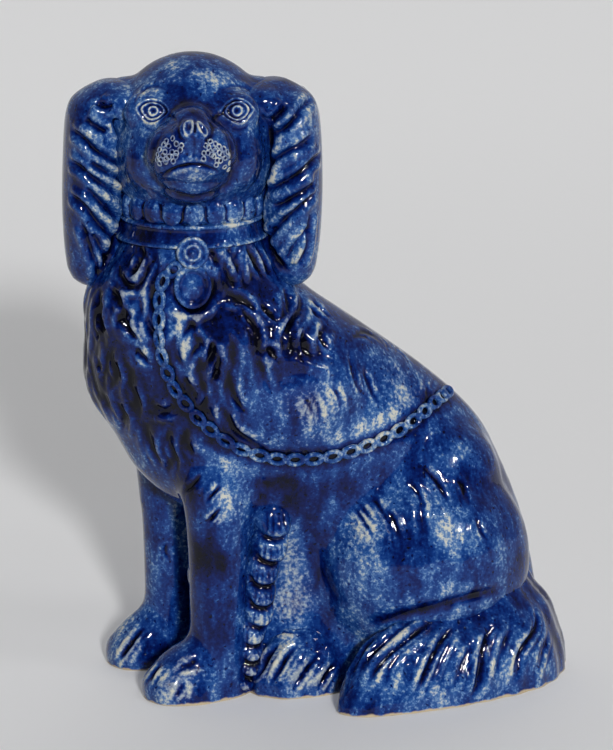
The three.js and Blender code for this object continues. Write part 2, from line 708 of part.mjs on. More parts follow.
function hairRow(row, side) {
  const height = collarHeight - LOCK_DROP - row * LOCK_ROW_DROP;
  const { x, y, rx, ry } = trunkAt(height);
  const reach = degrees(LOCK_REACH[row]);
  const count = Math.round((reach * Math.hypot(rx, ry) * Math.SQRT1_2) / LOCK_PITCH);
  const locks = [];
  for (let number = 0; number < count; number++) {
    const angle = ((number + 0.5) / count) * reach;
    const place = new THREE.Vector3(x - rx * Math.cos(angle), y + side * ry * Math.sin(angle), height);
    const inwards = new THREE.Vector3(ry * Math.cos(angle), -side * rx * Math.sin(angle), 0).normalize();
    const seat = surfaceFrom(place.addScaledVector(inwards, -LOCK_LENGTH), inwards);
    locks.push(lock(seat, number % 2 ? LOCK_TILT : -LOCK_TILT));
  }
  return joined(...locks);
}

const hairRows = LOCK_REACH.flatMap((reach, row) => [hairRow(row, -1), hairRow(row, 1)]);
const hair = cutBy(
  joined(...hairRows),
  coinSlot,
  collarClearance,
  bossClearance,
  locketClearance,
  channel(chainLine, LINK_WIDTH / 2 + LINK_WIRE, 40),
  earClearance,
  leftLegClearance,
  rightLegClearance,
);
const hairyBody = joined(hollowBody, hair);

// Crumbs of hair that the cuts leave loose are cleaned away
function cleaned(solid) {
  return solid.decompose().reduce((most, part) => (part.volume() > most.volume() ? part : most));
}

// Assembly

const bank = new THREE.Group();
const dog = new THREE.Group();
const head = new THREE.Group();
head.position.set(...headAt);
head.rotation.z = degrees(HEAD_TURN);
dog.add(head);
bank.add(dog);

// Adds a finished solid, with its mesh placed at the middle of its own underside
function addPiece(group, name, solid, material) {
  const { min, max } = solid.boundingBox();
  const at = new THREE.Vector3((min[0] + max[0]) / 2, (min[1] + max[1]) / 2, min[2]);
  const mesh = new THREE.Mesh(geometryOf(solid).translate(-at.x, -at.y, -at.z), material);
  mesh.name = name;
  mesh.position.copy(at);
  group.add(mesh);
}

addPiece(dog, "body_front_shell", cleaned(hairyBody.intersect(leftSide)), cobaltGlaze);
addPiece(dog, "body_back_shell", cleaned(hairyBody.intersect(rightSide)), cobaltGlaze);
addPiece(dog, "foreleg_left", leftLeg, cobaltGlaze);
addPiece(dog, "foreleg_right", rightLeg, cobaltGlaze);
addPiece(dog, "foreleg_feather", feather, cobaltGlaze);
addPiece(dog, "hind_foot_left", leftHindFoot, cobaltGlaze);
addPiece(dog, "hind_foot_right", rightHindFoot, cobaltGlaze);
addPiece(dog, "tail", tail, cobaltGlaze);
addPiece(dog, "collar_band", collar, paleGlaze);
addPiece(dog, "collar_beads", ruff, paleGlaze);
addPiece(dog, "collar_boss", boss, paleGlaze);
addPiece(dog, "locket", locket, paleGlaze);
addPiece(dog, "chain", chain, paleGlaze);
addPiece(dog, "base_slab", baseSlab, bareClay);
addPiece(dog, "coin_stopper", stopper, cork);
addPiece(head, "face_shell", face, cobaltGlaze);
addPiece(head, "head_back_shell", headBack, cobaltGlaze);
addPiece(head, "ear_right", rightEar, cobaltGlaze);
addPiece(head, "ear_left", leftEar, cobaltGlaze);

// The origin lies under the middle of the whole bank
bank.updateMatrixWorld(true);
const bounds = new THREE.Box3().setFromObject(bank, true);
const centre = bounds.getCenter(new THREE.Vector3());
dog.position.set(-centre.x, -centre.y, -bounds.min.z);

export default bank;
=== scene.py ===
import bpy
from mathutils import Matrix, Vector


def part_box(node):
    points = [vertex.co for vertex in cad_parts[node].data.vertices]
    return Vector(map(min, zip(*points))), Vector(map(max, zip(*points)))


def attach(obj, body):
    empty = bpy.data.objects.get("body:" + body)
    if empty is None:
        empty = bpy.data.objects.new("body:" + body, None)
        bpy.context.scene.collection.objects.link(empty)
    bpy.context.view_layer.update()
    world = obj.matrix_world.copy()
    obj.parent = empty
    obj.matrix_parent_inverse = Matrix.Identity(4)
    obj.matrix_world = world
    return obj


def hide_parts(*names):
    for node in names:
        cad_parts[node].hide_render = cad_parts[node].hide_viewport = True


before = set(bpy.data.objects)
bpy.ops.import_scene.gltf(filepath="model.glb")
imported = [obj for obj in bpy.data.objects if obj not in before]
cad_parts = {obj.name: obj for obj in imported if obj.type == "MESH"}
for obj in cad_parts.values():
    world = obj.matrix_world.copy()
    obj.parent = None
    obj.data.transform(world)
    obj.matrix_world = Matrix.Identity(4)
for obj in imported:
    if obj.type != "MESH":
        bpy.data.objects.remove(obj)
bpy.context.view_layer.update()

import math
from contextlib import contextmanager

import bpy
import numpy as np
from mathutils import Matrix, Vector
from mathutils.bvhtree import BVHTree

# A seated spaniel money bank in blue-glazed stoneware. Sizes are in millimetres, measured from the
# same marks as the solids: the dog sits facing -X and looks along -Y, and left is the dog's own left.
# The clay is pressed together from lumps, its hair is carved, and the glaze pools where it is carved.

STOPPER_AT = (20.0, 0.0)
low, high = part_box("coin_stopper")
SHIFT = np.array([500 * (low[0] + high[0]) - STOPPER_AT[0], 500 * (low[1] + high[1]) - STOPPER_AT[1], 0.0])


def metres(point):
    return Vector([(value + shift) / 1000 for value, shift in zip(point, SHIFT)])


def millimetres(place):
    return np.array(place) * 1000 - SHIFT


# Where the picture is taken from: its size, and the spot that it looks at

PICTURE = (613, 750)
LOOK_AT = metres((-12.2, 3.3, 121.0))
TURNED, RAISED, AWAY = math.radians(-15), math.radians(14), 1.5
LENS, SENSOR = 180.0, 36.0

toward_eye = Vector((
    math.sin(TURNED) * math.cos(RAISED),
    -math.cos(TURNED) * math.cos(RAISED),
    math.sin(RAISED),
))
to_right = Vector((math.cos(TURNED), math.sin(TURNED), 0))
to_top = toward_eye.cross(to_right)
eye = LOOK_AT + AWAY * toward_eye


def sight(spot):
    """The line of sight through a spot of the picture."""
    focal = LENS / SENSOR * PICTURE[1]
    across, down = spot[0] - PICTURE[0] / 2, spot[1] - PICTURE[1] / 2
    return (to_right * across - to_top * down - toward_eye * focal).normalized()


def tree_of(piece):
    return BVHTree.FromObject(piece, bpy.context.evaluated_depsgraph_get())


def met(tree, spots):
    """Where lines of sight meet a piece, and which way it faces there; a spot beside it is left out."""
    found = [tree.ray_cast(eye, sight(spot))[:2] for spot in spots]
    return [(place, out) for place, out in found if place is not None]


# Clay: lumps, stacks and how they are pressed together

def clean_hands():
    bpy.ops.object.select_all(action="DESELECT")


def take(*pieces):
    clean_hands()
    for piece in pieces:
        piece.select_set(True)
    bpy.context.view_layer.objects.active = pieces[0]
    return pieces[0]


def settled(*pieces):
    """Writes the place, turn and size of pieces into their meshes."""
    take(*pieces)
    bpy.ops.object.transform_apply(location=True, rotation=True, scale=True)
    return pieces[0]


def joined(pieces, name):
    piece = settled(*pieces)
    bpy.ops.object.join()
    piece.name = piece.data.name = name
    return piece


@contextmanager
def kneading(piece):
    """The whole mesh of a piece, selected in edit mode."""
    take(piece)
    bpy.ops.object.mode_set(mode="EDIT")
    bpy.ops.mesh.select_all(action="SELECT")
    yield
    bpy.ops.object.mode_set(mode="OBJECT")


def lump(at, size, turn=0.0):
    clean_hands()
    bpy.ops.mesh.primitive_uv_sphere_add(
        segments=32, ring_count=20, radius=0.001, location=metres(at),
        rotation=(0, 0, math.radians(turn)), scale=size)
    return bpy.context.object


def smooth_run(points, steps):
    """Points along a smooth line through the given ones."""
    points = np.asarray(points, float)
    ends = np.vstack([2 * points[0] - points[1], points, 2 * points[-1] - points[-2]])
    run = []
    for step in range(steps + 1):
        place = step / steps * (len(points) - 1)
        span = min(int(place), len(points) - 2)
        t = place - span
        a, b, c, d = ends[span:span + 4]
        run.append(b + 0.5 * t * (c - a + t * (2 * a - 5 * b + 4 * c - d + t * (3 * (b - c) + d - a))))
    return np.array(run)


def stack(sections, sides):
    """Ovals built up one on another; a section is its middle x, y, z and its two radii."""
    clean_hands()
    bpy.ops.mesh.primitive_circle_add(
        vertices=sides, radius=0.001, fill_type="NGON", location=metres(sections[0][:3]))
    piece = bpy.context.object
    piece.scale = (*sections[0][3:], 1)
    settled(piece)
    with kneading(piece):
        for below, above in zip(sections, sections[1:]):
            rise = metres(above[:3]) - metres(below[:3])
            bpy.ops.mesh.extrude_region_move(TRANSFORM_OT_translate={"value": rise})
            wider = (above[3] / below[3], above[4] / below[4], 1)
            bpy.ops.transform.resize(value=wider, center_override=metres(above[:3]))
        bpy.ops.mesh.select_all(action="SELECT")
        bpy.ops.mesh.normals_make_consistent(inside=False)
    return piece


def worked(piece, kind, **settings):
    take(piece)
    modifier = piece.modifiers.new("work", kind)
    for name, value in settings.items():
        setattr(modifier, name, value)
    bpy.ops.object.modifier_apply(modifier=modifier.name)
    return piece


def rounded(piece):
    return worked(piece, "SUBSURF", levels=2, render_levels=2)


def press(name, lumps, grain, strokes, table=True):
    """Presses lumps into one piece of clay, smooths it and cuts it level with the table."""
    piece = joined(lumps, name)
    worked(piece, "REMESH", mode="VOXEL", voxel_size=grain / 1000)
    worked(piece, "SMOOTH", factor=0.5, iterations=strokes)
    rounded(piece)
    return sliced(piece, (0, 0, 0), (0, 0, 1)) if table else piece


def sliced(piece, at, kept_side):
    """Cuts a piece through, keeps one side and closes the cut."""
    with kneading(piece):
        bpy.ops.mesh.bisect(plane_co=at, plane_no=kept_side, clear_inner=True, use_fill=True)
    return piece


def copied(piece, name):
    twin = piece.copy()
    twin.data = piece.data.copy()
    twin.name = twin.data.name = name
    bpy.context.collection.objects.link(twin)
    return twin


def halves(piece, names, at, front):
    """Parts a piece into the half on its front side and the half behind that."""
    back = copied(piece, names[1])
    piece.name = piece.data.name = names[0]
    return sliced(piece, at, front), sliced(back, at, -front)


def rings(name, places, **shape):
    """Rings of one shape at the given places, joined into one piece."""
    clean_hands()
    bpy.ops.mesh.primitive_torus_add(**shape)
    first = bpy.context.object
    twins = []
    for place in places:
        twin = copied(first, name)
        twin.matrix_world = place
        twins.append(twin)
    bpy.data.objects.remove(first)
    return joined(twins, name)


def cut_away(piece, tool):
    worked(piece, "BOOLEAN", operation="DIFFERENCE", object=tool, solver="FAST")
    bpy.data.objects.remove(tool)
    return piece


# Carving: strokes and stamps move the clay along its own surface direction. What is cut in gathers
# glaze and what stands out sheds it, which the finish reads as "pool" and "thin".
# A few dabs also put painted shade into "pool" and painted highlight and sheen into "thin".

HAIR_TAPER = 0.35  # share of a hair's length over which it runs out at each end
POOL_HEIGHT = 0.25  # hollow, in millimetres, that gathers its full share of glaze


def listed(items, name, width=3, kind=float):
    """A value of every item of a mesh, one row each."""
    values = np.empty(len(items) * width, kind)
    items.foreach_get(name, values)
    return values.reshape(-1, width)


class Carving:
    def __init__(self, piece):
        self.piece = piece
        self.at = millimetres(listed(piece.data.vertices, "co"))
        self.out = listed(piece.data.vertex_normals, "vector")
        self.push, self.pool, self.thin = np.zeros((3, len(self.at)))
        self.tree = tree_of(piece)

    def seen(self, spots):
        """Where spots of the picture lie on the clay."""
        return np.array([millimetres(place) for place, out in met(self.tree, spots)])

    def beneath(self, points):
        """The nearest places on the clay."""
        return np.array([millimetres(self.tree.find_nearest(metres(point))[0]) for point in points])

    def mirrored(self, points):
        return self.beneath(points * (1, -1, 1)) if len(points) else points

    def stroke(self, points, width=0.9, depth=1.2, swell=0.4, taper=0.2, glaze=0.8):
        """A groove between two rounded swells, running out at both ends."""
        if len(points) < 2:
            return
        lengths = np.linalg.norm(np.diff(points, axis=0), axis=1)
        line = smooth_run(points, max(4, int(lengths.sum() / 1.5)))
        reach = 4 * width + 4
        near = np.where(((self.at > line.min(0) - reach) & (self.at < line.max(0) + reach)).all(1))[0]
        if not len(near):
            return
        start, along = line[:-1], np.diff(line, axis=0)
        offset = self.at[near][:, None] - start[None]
        share = np.clip((offset * along).sum(2) / (along * along).sum(1), 0, 1)
        away = np.linalg.norm(offset - share[..., None] * along, axis=2)
        best = away.argmin(1)
        row = np.arange(len(near))
        away = away[row, best]
        run = (best + share[row, best]) / len(start)
        ends = np.clip(np.minimum(run, 1 - run) / taper, 0, 1)
        ends = ends * ends * (3 - 2 * ends)
        cut = ends * np.exp(-(away / width) ** 2)
        side = ends * np.exp(-((away - 2 * width - 0.6) / (0.9 * width + 0.5)) ** 2)
        self.push[near] += swell * side - depth * cut
        self.pool[near] += glaze * cut
        self.thin[near] += 0.24 * glaze * side

    def hair(self, spots, width, depth, swell, glaze, sides=2):
        """A lock of hair as it is seen in the picture, with a finer hair on each side of it."""
        for shift, share in ((0, 1.0), (-2 - 2.2 * width, 0.45), (2 + 2.2 * width, 0.4)):
            line = self.seen([(x + shift, y + abs(shift)) for x, y in spots])
            fine = (0.4 + 0.6 * share) * width
            for run in [line, self.mirrored(line)][:sides]:
                self.stroke(run, fine, share * depth, share * swell, HAIR_TAPER, share * glaze)

    def stamp(self, centre, reach, shape):
        """Presses a shape, given across and up in the surface, round a centre."""
        centre = np.asarray(centre, float)
        away = self.at - centre
        near = np.where(np.linalg.norm(away, axis=1) < reach)[0]
        close = near[np.linalg.norm(away[near], axis=1) < 0.5 * reach]
        out = self.out[close].mean(0)
        out /= np.linalg.norm(out)
        across = np.cross((0, 0, 1), out)
        across /= np.linalg.norm(across)
        rise = np.cross(out, across)
        near = near[self.out[near] @ out > 0]
        push, pool, thin = shape(away[near] @ across, away[near] @ rise)
        self.push[near] += push
        self.pool[near] += pool
        self.thin[near] += thin

    def dab(self, centre, radius, amount):
        """A patch made paler (over 0) or darker (under 0): thinner or thicker glaze, and in a few patches
        painted highlight, sheen and shade.
        """
        spread = np.exp(-(np.linalg.norm(self.at - centre, axis=1) / radius) ** 2)
        if amount > 0:
            self.thin += amount * spread
        else:
            self.pool -= amount * spread

    def dabs(self, patches, far_share=0.0):
        """Patches as they are seen in the picture, with their reach and amount, fainter on the far side."""
        for x, y, reach, amount in patches:
            for spot in self.seen([(x, y)]):
                self.dab(spot, reach, amount)
                if far_share:
                    self.dab(spot * (1, -1, 1), reach, far_share * amount)

    def finish(self, hollows=1.0):
        """Moves the clay, and lets the glaze gather in every hollow and thin on every edge."""
        mesh = self.piece.data
        self.at = self.at + self.out * self.push[:, None]
        self.at[:, 2] = np.maximum(self.at[:, 2], 0)
        mesh.vertices.foreach_set("co", ((self.at + SHIFT) / 1000).ravel())
        mesh.update()
        count = len(self.at)
        a, b = listed(mesh.edges, "vertices", 2, int).T
        out = listed(mesh.vertex_normals, "vector")
        links = np.bincount(a, minlength=count) + np.bincount(b, minlength=count) + 1e-9

        def spread(values):
            sums = np.bincount(a, values[b], count) + np.bincount(b, values[a], count)
            return sums / links

        level = self.at
        for turn in range(6):
            level = np.stack([0.3 * level[:, k] + 0.7 * spread(level[:, k]) for k in range(3)], 1)
        hollow = ((level - self.at) * out).sum(1)
        for turn in range(2):
            hollow = 0.5 * hollow + 0.5 * spread(hollow)
        pool = self.pool + 0.6 * hollows * np.clip(hollow / POOL_HEIGHT, 0, 1.5)
        edges = np.clip(-hollow / POOL_HEIGHT, 0, 1.2) * np.clip(1 - self.pool, 0, 1)
        thin = self.thin + 0.6 * hollows * edges
        for name, values in (("pool", pool), ("thin", thin)):
            attribute = mesh.attributes.new(name, "FLOAT", "POINT")
            attribute.data.foreach_set("value", np.clip(values, 0, 1.5).astype(np.float32))
        return self.piece


# Trunk, haunches and forelegs: one pressing, parted down the middle as it comes from the mould

TRUNK = [  # height, chest, rump, half width, shift to the left
    (-9, -60, 88, 36, 0),
    (9, -60, 88, 36, 0),
    (34, -50, 83, 30, 0),
    (58, -50, 78, 30, 0),
    (84, -80, 67.5, 34, 0),
    (103, -91.5, 57, 38, 0),
    (123, -103, 36, 38, 0),
    (146, -103, 5, 38, -4),
    (162, -103, -17, 32.5, -4),
    (181, -90, -33, 27, -8),
    (208, -83, -39, 22, -8),
]


def ovals(rows):
    return [((front + back) / 2, shift, z, (back - front) / 2, half) for z, front, back, half, shift in rows]


def trunk_at(height):
    """Middle and radii of the trunk at a height."""
    run = smooth_run(ovals(TRUNK), 200)
    return [np.interp(height, run[:, 2], run[:, k]) for k in (0, 1, 3, 4)]


LEG_RADIUS, SHOULDER_RADIUS, LEG_TOP = 11.5, 19.0, 106.0
LEGS = {"left": ((-55, -22), 12), "right": ((-63, 25), 9)}  # place, and how far the paw lies ahead
PAW, TOE, TOES = (18, 15, 22), (8.4, 6, 7.8), 4
HAUNCH_AT = np.array((27, -22))
SIDE_LUMPS = [  # x, distance from the middle, shift to the left, height, radii
    (27, 22, 0, 48, (42, 32, 41)),
    (43, 17, 0, 47, (32, 29, 38)),
    (30, 14, 0, 78, (34, 25, 30)),
    (-27, 31, -2, 121, (27, 9, 23)),
]
RECESS_AT, RECESS_RADII, RECESS_DEPTH = (14, 0, 10.5), (67, 29), 31  # in the underside
SLOT_AT, SLOT = (-35, 40, 138), (42, 40, 5)


def foreleg(side):
    (x, y), forward = LEGS[side]
    leg = stack(smooth_run([
        (x, y, -LEG_RADIUS, LEG_RADIUS, LEG_RADIUS),
        (x, y, LEG_RADIUS, LEG_RADIUS, LEG_RADIUS),
        (x, y, 58, LEG_RADIUS + 1, LEG_RADIUS),
        (x, y, 84, (LEG_RADIUS + SHOULDER_RADIUS) / 2, LEG_RADIUS + 1),
        (x, 0.6 * y, LEG_TOP, SHOULDER_RADIUS, LEG_RADIUS),
    ], 14), sides=28)
    paw = lump((x - forward, y, 0), PAW)
    toes = []
    for toe in range(TOES):
        across = ((toe + 0.5) / TOES - 0.5) * 2 * 12
        ahead = PAW[0] * math.sqrt(1 - (across / PAW[1]) ** 2) - 6
        toes.append(lump((x - forward - ahead, y + across, 4.2), TOE))
    return [leg, paw, *toes]


def body():
    lumps = [stack(smooth_run(ovals(TRUNK), 26), sides=48)]
    for side in (-1, 1):
        for x, away, shift, z, radii in SIDE_LUMPS:
            lumps.append(lump((x, side * away + shift, z), radii))
    lumps += foreleg("left") + foreleg("right")
    piece = press("body", lumps, grain=3.2, strokes=5)
    clean_hands()
    bpy.ops.mesh.primitive_cylinder_add(
        vertices=96, radius=0.001, depth=RECESS_DEPTH / 1000, location=metres(RECESS_AT),
        scale=(*RECESS_RADII, 1))
    cut_away(piece, bpy.context.object)
    clean_hands()
    bpy.ops.mesh.primitive_cube_add(size=0.001, location=metres(SLOT_AT), scale=SLOT)
    return cut_away(piece, bpy.context.object)


# Strokes as they are seen in the picture, from end to end

CHEST_LOCKS = [
    [(121, 262), (119, 272), (124, 282), (136, 284), (146, 276)],
    [(139, 243), (143, 255), (138, 268), (130, 276)],
    [(152, 243), (154, 258), (150, 270), (144, 282), (143, 294)],
    [(160, 262), (156, 280), (155, 300), (152, 320), (154, 340), (156, 358)],
    [(143, 298), (142, 314), (147, 328), (153, 338)],
    [(131, 308), (122, 318), (128, 330), (139, 337)],
    [(110, 286), (117, 299), (121, 312)],
    [(136, 345), (140, 355), (150, 362)],
    [(133, 365), (131, 385), (136, 402), (132, 420)],
    [(150, 405), (165, 410), (178, 405)],
    [(149, 420), (148, 436), (152, 450), (158, 464)],
    [(186, 312), (190, 325), (186, 337)],
    [(177, 330), (174, 344), (176, 358), (182, 366)],
    [(196, 331), (199, 344), (195, 356)],
    [(184, 374), (189, 386), (193, 400)],
    [(204, 348), (201, 362), (200, 378), (201, 392), (196, 401)],
    [(211, 340), (213, 354), (208, 368)],
    [(220, 352), (219, 368), (214, 382)],
    [(222, 328), (231, 340), (233, 360), (230, 378), (232, 394), (239, 406), (250, 413)],
    [(208, 393), (206, 406), (210, 419)],
    [(224, 398), (226, 414), (234, 430), (250, 440), (264, 446)],
    [(170, 298), (180, 305), (194, 308), (206, 301), (212, 286)],
    [(232, 302), (243, 312), (253, 326), (256, 342), (259, 360), (263, 379), (271, 396)],
    [(222, 292), (235, 297), (247, 303), (256, 314)],
    [(212, 245), (213, 258), (219, 270)],
    [(221, 246), (220, 258), (224, 268), (228, 279), (233, 291)],
    [(229, 245), (230, 256), (233, 269)],
    [(237, 243), (237, 256), (238, 270), (238, 286)],
    [(246, 243), (250, 255), (254, 265), (258, 277)],
    [(255, 243), (259, 255), (264, 266), (270, 278)],
    [(262, 302), (267, 312), (277, 318)],
    [(285, 283), (287, 297), (288, 312), (285, 322)],
    [(297, 284), (301, 297), (300, 310), (293, 321), (288, 330), (287, 342), (290, 354)],
    [(304, 328), (303, 343), (307, 356)],
    [(326, 322), (322, 337), (327, 350)],
    [(262, 344), (270, 352), (277, 359)],
    [(313, 299), (319, 308), (327, 313)],
    [(103, 300), (100, 318), (104, 336)],
    [(116, 340), (112, 358), (117, 376), (112, 392)],
    [(118, 400), (124, 418), (122, 436)],
    [(170, 425), (168, 442), (174, 458), (170, 474)],
    [(188, 424), (186, 442), (192, 458)],
]
PITS = [(293, 338, 1.8, 5.0), (305, 344, 1.3, 3.5), (323, 338, 1.4, 3.2), (270, 352, 2.6, 2.2),
        (211, 352, 1.5, 3.0), (125, 320, 3.0, 3.0), (117, 292, 2.6, 3.2), (218, 375, 1.4, 2.0),
        (97, 335, 1.0, 1.6), (100, 365, 1.4, 2.0)]
BACK_STROKES = [
    [(349, 346), (350, 360), (353, 375), (358, 388), (365, 397)],
    [(368, 359), (365, 372), (367, 382), (372, 394), (379, 406)],
    [(328, 381), (336, 392), (340, 405), (340, 420)],
    [(308, 390), (314, 402), (318, 415), (319, 430)],
    [(303, 394), (308, 405), (311, 418)],
    [(350, 337), (364, 332), (380, 339)],
    [(398, 345), (408, 352), (413, 362)],
    [(430, 370), (427, 383), (426, 397)],
    [(383, 332), (390, 340), (392, 350)],
]
HAUNCH_STROKES = [
    [(413, 462), (425, 470), (435, 481), (443, 495), (445, 515)],
    [(406, 476), (413, 487), (420, 498), (421, 514), (423, 532), (422, 547)],
    [(383, 502), (391, 517), (396, 530), (399, 547)],
    [(350, 503), (358, 514), (365, 525), (372, 537)],
    [(356, 500), (364, 511), (372, 522)],
    [(370, 495), (378, 506), (386, 520)],
    [(477, 516), (479, 529), (485, 541)],
    [(455, 475), (462, 488), (466, 504)],
]
LEG_SLITS = [
    [(224, 484), (215, 492), (208, 501)],
    [(223, 507), (215, 515), (208, 523)],
    [(204, 473), (193, 484), (183, 496)],
    [(167, 543), (165, 551), (167, 559)],
]
PAW_STROKES = [
    [(182, 681), (181, 690), (176, 699)],
    [(163, 661), (155, 672), (150, 684)],
    [(200, 660), (190, 664), (176, 668)],
    [(134, 640), (127, 650), (119, 661)],
    [(146, 626), (136, 637), (128, 650)],
]
CHAIN_RUN = [(176, 268), (163, 282), (160, 310), (161, 345), (168, 373), (181, 397), (206, 425), (236, 446),
             (270, 457), (302, 459), (332, 456), (360, 448), (386, 437), (411, 422), (431, 405), (448, 391)]
LOCKET_CREASE = [(174, 284), (178, 298), (187, 306), (199, 306), (209, 298), (213, 285), (213, 270)]
TAIL_CREASE = [(352, 628), (380, 621), (410, 613), (440, 606), (468, 598), (492, 592), (512, 584)]
FOLDS = [  # run, width, depth (under 0 for a ridge), glaze
    ([(266, 343), (290, 350), (312, 352), (338, 360)], 3.2, 0.9, 0.2),
    ([(280, 359), (300, 362), (320, 367), (342, 375)], 2.6, -0.9, 0.0),
    ([(200, 440), (215, 448), (232, 458)], 1.8, 0.8, 0.4),
    ([(300, 488), (285, 480), (270, 482), (262, 492)], 4.0, 1.2, 0.35),
    ([(262, 560), (256, 590), (250, 625)], 2.4, 0.7, 0.6),
    ([(300, 500), (308, 530), (316, 560), (330, 590), (352, 612)], 4.0, 0.8, 0.35),
]
GLAZE_AND_PAINTED_LIGHT_DABS = [  # spot, reach, and paler or darker: thinner or thicker glaze, and a few patches of painted highlight and painted shade
    (284, 545, 8, 0.3), (312, 545, 9, -0.25), (295, 560, 14, 0.4), (290, 590, 12, 0.35),
    (330, 590, 12, 0.2), (285, 612, 9, 0.45), (355, 530, 12, 0.35), (290, 402, 13, 0.4),
    # (450, 455) and (480, 470): paler glaze that also paints the highlight on the top of the haunch
    (310, 425, 12, 0.3), (395, 372, 14, 0.35), (450, 455, 14, 0.3), (480, 470, 10, 0.3),
    (232, 500, 9, 0.35), (225, 530, 8, 0.35), (212, 585, 7, 0.2), (300, 610, 8, 0.3),
    (170, 690, 10, 0.35), (185, 675, 13, 0.55), (385, 545, 18, 0.35), (455, 560, 16, 0.15),
    (420, 505, 14, 0.1), (500, 540, 12, 0.25), (130, 650, 9, 0.4), (320, 400, 12, 0.35),
    (400, 385, 12, 0.3), (224, 284, 5, -0.9), (300, 350, 8, -0.35), (192, 492, 7, -0.9),
    # (120, 360), (96, 325) and (99, 390): darker glaze that also paints shade on the chest's front edge,
    # which is turned away from the light
    (209, 560, 8, -0.7), (180, 430, 13, -0.5), (150, 420, 12, -0.5), (120, 360, 16, -0.35),
    (96, 325, 13, -0.45), (99, 390, 13, -0.45), (260, 470, 10, -0.3), (290, 488, 7, -0.7),
    (310, 505, 9, -0.6), (345, 570, 8, -0.4), (420, 540, 8, -0.3), (472, 565, 6, -0.4),
    (205, 640, 7, -0.5), (150, 520, 12, -0.2), (255, 590, 7, -0.4), (215, 575, 14, -0.3),
    (210, 610, 12, -0.3), (200, 370, 16, -0.2), (240, 380, 14, -0.2),
]


def carved_body(piece):
    work = Carving(piece)
    for spots in CHEST_LOCKS:
        work.hair(spots, width=1.3, depth=1.35, swell=0.8, glaze=0.62)
    for x, y, wide, tall in PITS:
        for centre in (work.seen([(x, y)]), work.mirrored(work.seen([(x, y)]))):
            for spot in centre:
                work.stamp(spot, 3 * tall, lambda u, v: hollow_spot(u / wide, v / tall))
    for spots in BACK_STROKES + HAUNCH_STROKES:
        work.hair(spots, width=0.9, depth=0.6, swell=0.3, glaze=0.5)
    for spots in LEG_SLITS:
        work.hair(spots, width=0.8, depth=0.9, swell=0.4, glaze=0.6)
    for spots in PAW_STROKES:
        work.hair(spots, width=1.1, depth=0.9, swell=0.5, glaze=0.6, sides=1)
    for spots, width, depth, pool in FOLDS:
        line = work.seen(spots)
        for run in (line, work.mirrored(line)):
            work.stroke(run, width, depth, 0.1 * abs(depth), 0.25, pool)
    work.stroke(work.seen(TAIL_CREASE), width=2.6, depth=1.3, swell=0.13, taper=0.25, glaze=0.8)
    work.stroke(work.seen(CHAIN_RUN), width=3.4, depth=0.7, swell=0.1, taper=0.03, glaze=1.35)
    work.stroke(work.seen(LOCKET_CREASE), width=1.9, depth=1.3, swell=0.2, taper=0.2, glaze=1.1)
    # far_share repeats each patch fainter on the far side, painted highlight and painted shade included
    work.dabs(GLAZE_AND_PAINTED_LIGHT_DABS, far_share=0.7)
    for way in range(9):
        side = -0.5 + way / 8
        spots = [(-101 + 4 * side, 30 * side - 4, 172 - 9 * step + 6 * (way % 2)) for step in range(9)]
        wave = [(x, y + 2.5 * math.sin(1.3 * k + way), z) for k, (x, y, z) in enumerate(spots)]
        work.stroke(work.beneath(wave), width=1.5, depth=0.6, swell=0.3, glaze=0.4)
    return work.finish()


def hollow_spot(u, v):
    dip = np.exp(-(u * u + v * v) ** 1.5)
    edge = np.exp(-((np.sqrt(u * u + v * v) - 1.7) / 0.4) ** 2)
    return 0.2 * edge - dip, 0.4 * dip, 0.15 * edge


# Tail, hind feet and the feathering behind the left foreleg

TAIL_LINE = [(56, 6, 32), (75, -12, 41), (62, -37, 40), (34, -47, 36), (10, -52, 31), (-5, -53, 25)]
TAIL_STROKES = [
    [(443, 612), (425, 626), (405, 641), (390, 654), (377, 671), (372, 686)],
    [(425, 613), (405, 625), (388, 640), (372, 656), (362, 676)],
    [(464, 621), (448, 633), (438, 649), (430, 666), (423, 682), (417, 699)],
    [(452, 640), (444, 656), (438, 672), (434, 690)],
    [(502, 617), (490, 633), (484, 651), (482, 669), (479, 686), (470, 699)],
    [(476, 640), (468, 655), (462, 672), (458, 690)],
    [(530, 597), (536, 612), (536, 628), (527, 643), (520, 656), (518, 673), (514, 691)],
    [(515, 622), (507, 640), (502, 660), (498, 680)],
    [(548, 628), (545, 645), (541, 662), (536, 678)],
    [(408, 648), (396, 660), (388, 676), (384, 694)],
    [(380, 634), (366, 648), (355, 668), (352, 690)],
]
TAIL_DABS = [
    (385, 690, 8, 0.35), (440, 690, 8, 0.4), (500, 680, 8, 0.4), (545, 660, 8, 0.35), (400, 640, 7, 0.2),
    (520, 610, 9, -0.35), (480, 610, 7, -0.5), (362, 660, 6, -0.3), (460, 650, 6, 0.25),
]
TAIL_STEPS = 16
TAIL_LUMPS = [(-3, 11.5, 1.04), (3, 12.5, 0.82), (8.5, 9.3, 0.52)]  # way out, radius, share of the height


